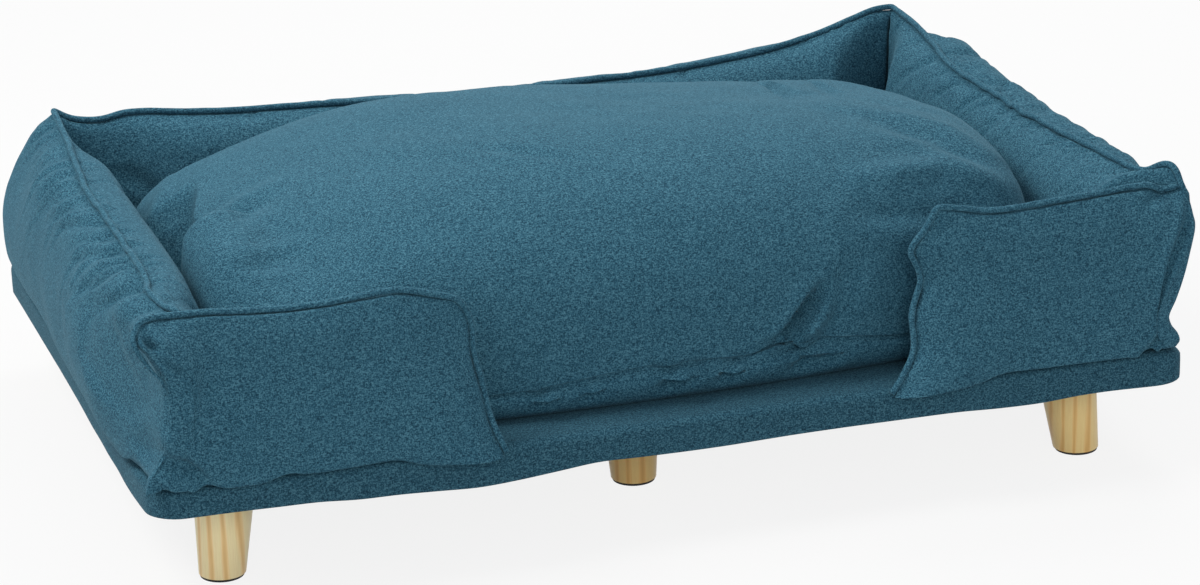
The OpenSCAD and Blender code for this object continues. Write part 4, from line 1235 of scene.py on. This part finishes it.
def plan_ring(inset):
    """Points round a rectangle with round corners, the same number at every inset."""
    r = max(BASE_R - inset, 2.0)
    hx, hy = BASE_W / 2 - inset - r, BASE_D / 2 - inset - r

    def on_corner(quarter, degrees):
        sx, sy = QUARTERS[quarter % 4]
        angle = math.radians(degrees)
        return np.array((sx * hx + r * math.cos(angle), sy * hy + r * math.sin(angle)))

    points = []
    for quarter, side in enumerate((BASE_W, BASE_D, BASE_W, BASE_D)):
        for i in range(CORNER_POINTS):
            points.append(on_corner(quarter, 90 * quarter + 90 * i / (CORNER_POINTS - 1)))
        start, end = points[-1], on_corner(quarter + 1, 90 * (quarter + 1))
        count = int(side / RING_STEP)
        for i in range(1, count):
            points.append(start + (end - start) * i / count)
    return np.array(points)


# How far the lower edge hangs below the hem's level along the front, by X, and elsewhere
HEM_DROP = [
    (-478, 0), (-407, 1), (-371, 2), (-335, 3), (-299, 6), (-262, 7), (-226, 9), (-189, 11), (-152, 9),
    (-115, 6), (-77, 3), (-40, 4), (36, 5), (113, 4), (190, 4), (268, 5), (308, 7), (347, 8), (387, 6),
    (467, 6), (485, 5),
]
HEM_DROP_BEHIND = 5.5
# Rounding of the upper and of the lower edge, and the uneven bulge of the side as (height, size, seed)
TOP_ROUND, HEM_ROUND = 8.0, 2.0
BASE_SWAY = ((1.1, 120, 31), (0.5, 38, 32))
# The front right corner stands out: its place, the breadth, and how far to the side and to the front
BUMP_X, BUMP_Y, BUMP_SIZE = 478, -328, 34
BUMP_OUT, BUMP_FRONT = 12.0, 4.0
CLOTH_THICK = 1.4


def base_rows():
    """The cloth's rings from the middle of the top to the hem below: inset, height and share of the bulge."""
    rows = [(inset, BASE_TOP, 0.0) for inset in (120.0, 80.0, 60.0, 45.0, 32.0, 22.0, 14.0, 9.0)]
    for k in range(1, 7):
        a = math.radians(90 * k / 6)
        rows.append((TOP_ROUND * (1 - math.sin(a)), BASE_TOP - TOP_ROUND * (1 - math.cos(a)), 0.2 + 0.13 * k))
    rows += [(0.0, z, 1.0) for z in (99.0, 95.0, 91.0)]
    for k in range(1, 6):
        a = math.radians(90 * k / 5)
        rows.append((HEM_ROUND * (1 - math.cos(a)), HEM_Z + HEM_ROUND * (1 - math.sin(a)), 1.0))
    return rows + [(inset, HEM_Z, 0.0) for inset in (12.0, 22.0, 35.0)]


def base_ring(inset, z, bulge):
    """One ring of the platform's cloth, with its bulge, its hanging hem and its full corner."""
    ring = plan_ring(inset)
    p = np.column_stack([ring, np.full(len(ring), z)])
    out = ring / np.array([BASE_W, BASE_D]) * 2
    by_side = np.abs(out[:, :1]) > np.abs(out[:, 1:])
    away = np.sign(out) * np.concatenate([by_side, ~by_side], axis=1)
    p[:, :2] += away * (bulge * lumps(p, BASE_SWAY))[:, None]
    low = 1 - step(z, HEM_Z, BASE_TOP - 4)
    front = step(-p[:, 1], 250, 335)
    drop = curve(HEM_DROP, p[:, 0]) * front + HEM_DROP_BEHIND * (1 - front)
    p[:, 2] -= drop * low * step(-inset, -30, -8)
    near = np.exp(-(((p[:, 0] - BUMP_X) / BUMP_SIZE) ** 2 + ((p[:, 1] - BUMP_Y) / BUMP_SIZE) ** 2))
    p[:, 0] += BUMP_OUT * near * bulge
    p[:, 1] -= BUMP_FRONT * near * bulge
    return p


def build_base():
    grid = np.array([base_ring(*row) for row in base_rows()])
    rows, cols = grid.shape[:2]
    faces = grid_faces(rows, cols, closed_cols=True)
    faces.append(tuple(range(cols)))
    # The platform's cover takes the darker copy of the cloth, with its painted shade
    piece = add_mesh("base_upholstery", grid.reshape(-1, 3), faces, base_cloth_painted_shade, "base")
    solid = piece.modifiers.new("cloth_thickness", "SOLIDIFY")
    solid.thickness = CLOTH_THICK * MM
    solid.offset = -1
    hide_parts("base_cover")


build_base()

# Rings of the foam from its underside to its top: inset and height
FOAM_ROWS = [(2.2, 102.2), (2.2, 106.0), (4.0, 108.6), (8.0, 109.7)]


def build_foam():
    rings = [(plan_ring(inset), z) for inset, z in FOAM_ROWS]
    grid = np.array([np.column_stack([ring, np.full(len(ring), z)]) for ring, z in rings])
    rows, cols = grid.shape[:2]
    faces = grid_faces(rows, cols, closed_cols=True, flip=True)
    faces.append(tuple(reversed(range(cols))))
    faces.append(tuple((rows - 1) * cols + c for c in range(cols)))
    piece = add_mesh("foam_topper", grid.reshape(-1, 3), faces, foam, "base")
    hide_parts("base_foam")


build_foam()


# Materials and softer edges for the CAD nodes that show
LEG_WOOD = {
    "front_left": pine_pale, "front_middle": pine_dark, "front_right": pine_gold,
    "back_left": pine_gold, "back_middle": pine_pale, "back_right": pine_pale,
}


def dress(node, material, bevel=0.0):
    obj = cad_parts[node]
    obj.data.materials.clear()
    obj.data.materials.append(material)
    if bevel:
        edge = obj.modifiers.new("soft_edge", "BEVEL")
        edge.width = bevel * MM
        edge.segments = 3
        edge.limit_method = "ANGLE"
        edge.angle_limit = math.radians(40)


for foot, wood in LEG_WOOD.items():
    dress("leg_" + foot, wood, 1.4)
    dress("pad_" + foot, pad_rubber, 0.5)
    dress("bolt_" + foot, zinc)
for node, material in (
    ("base_board", plywood), ("dust_cover", dust_cloth), ("cover_staples", zinc), ("tee_nuts", zinc),
    ("hook_tapes", hook_nylon), ("loop_tapes", loop_nylon), ("zip_tapes", zip_cloth),
    ("zip_teeth", zip_nylon), ("zip_stops", zip_metal), ("zip_slider", zip_metal), ("zip_pull", zip_metal),
):
    dress(node, material)


# Floor, light and background
FLOOR_HALF = 14.0
# How much of the plain background shows on the floor
FLOOR_GLOW = 0.86
WHITE = (1, 1, 1, 1)


def background_rays(tree):
    """1 for the rays that show the background: from the camera, off gloss and through glass."""
    rays = tree.nodes.new("ShaderNodeLightPath").outputs
    seen = maths_node(tree, "MAXIMUM", rays["Is Camera Ray"], rays["Is Glossy Ray"])
    return maths_node(tree, "MAXIMUM", seen, rays["Is Transmission Ray"])


def mix_shaders(tree, share, first, second, output):
    both = tree.nodes.new("ShaderNodeMixShader")
    link(tree, share, both.inputs[0])
    link(tree, first.outputs[0], both.inputs[1])
    link(tree, second.outputs[0], both.inputs[2])
    link(tree, both.outputs[0], tree.nodes[output].inputs["Surface"])


def build_floor():
    mesh = bpy.data.meshes.new("floor")
    mesh.from_pydata([(x * FLOOR_HALF, y * FLOOR_HALF, 0) for x, y in QUARTERS], [], [(0, 1, 2, 3)])
    material, tree, shader = new_material("pale_floor")
    set_inputs(shader, Base_Color=(0.66, 0.66, 0.66, 1), Roughness=0.9)
    glow = tree.nodes.new("ShaderNodeEmission")
    set_inputs(glow, Color=WHITE, Strength=1.0)
    share = maths_node(tree, "MULTIPLY", background_rays(tree), FLOOR_GLOW)
    mix_shaders(tree, share, shader, glow, "Material Output")
    mesh.materials.append(material)
    add_object("floor", mesh)


build_floor()


def build_world():
    world = bpy.data.worlds.new("studio")
    scene.world = world
    world.use_nodes = True
    tree = world.node_tree
    soft = tree.nodes["Background"]
    set_inputs(soft, Color=(0.95, 0.99, 1.05, 1), Strength=0.43)
    white = tree.nodes.new("ShaderNodeBackground")
    set_inputs(white, Color=WHITE, Strength=1.0)
    mix_shaders(tree, background_rays(tree), soft, white, "World Output")


build_world()

LAMP_COLOUR = (1.0, 0.985, 0.95)
LAMP_TARGET = np.array([0, 0, 0.2])


def add_lamp(name, place, size, power):
    """A round lamp that looks at the object."""
    data = bpy.data.lights.new(name, "AREA")
    data.shape = "DISK"
    data.size = size
    data.energy = power
    data.color = LAMP_COLOUR
    ahead = unit(LAMP_TARGET - np.array(place))
    side = unit(np.cross(ahead, (0.0, 0.0, 1.0)))
    aim(add_object(name, data), place, side, np.cross(side, ahead), ahead)


add_lamp("key", (-1.79, 0.24, 2.6), 1.3, 64)
add_lamp("back", (1.22, 1.52, 2.48), 1.4, 38)
add_lamp("front", (-0.3, -2.74, 1.42), 1.4, 17.5)
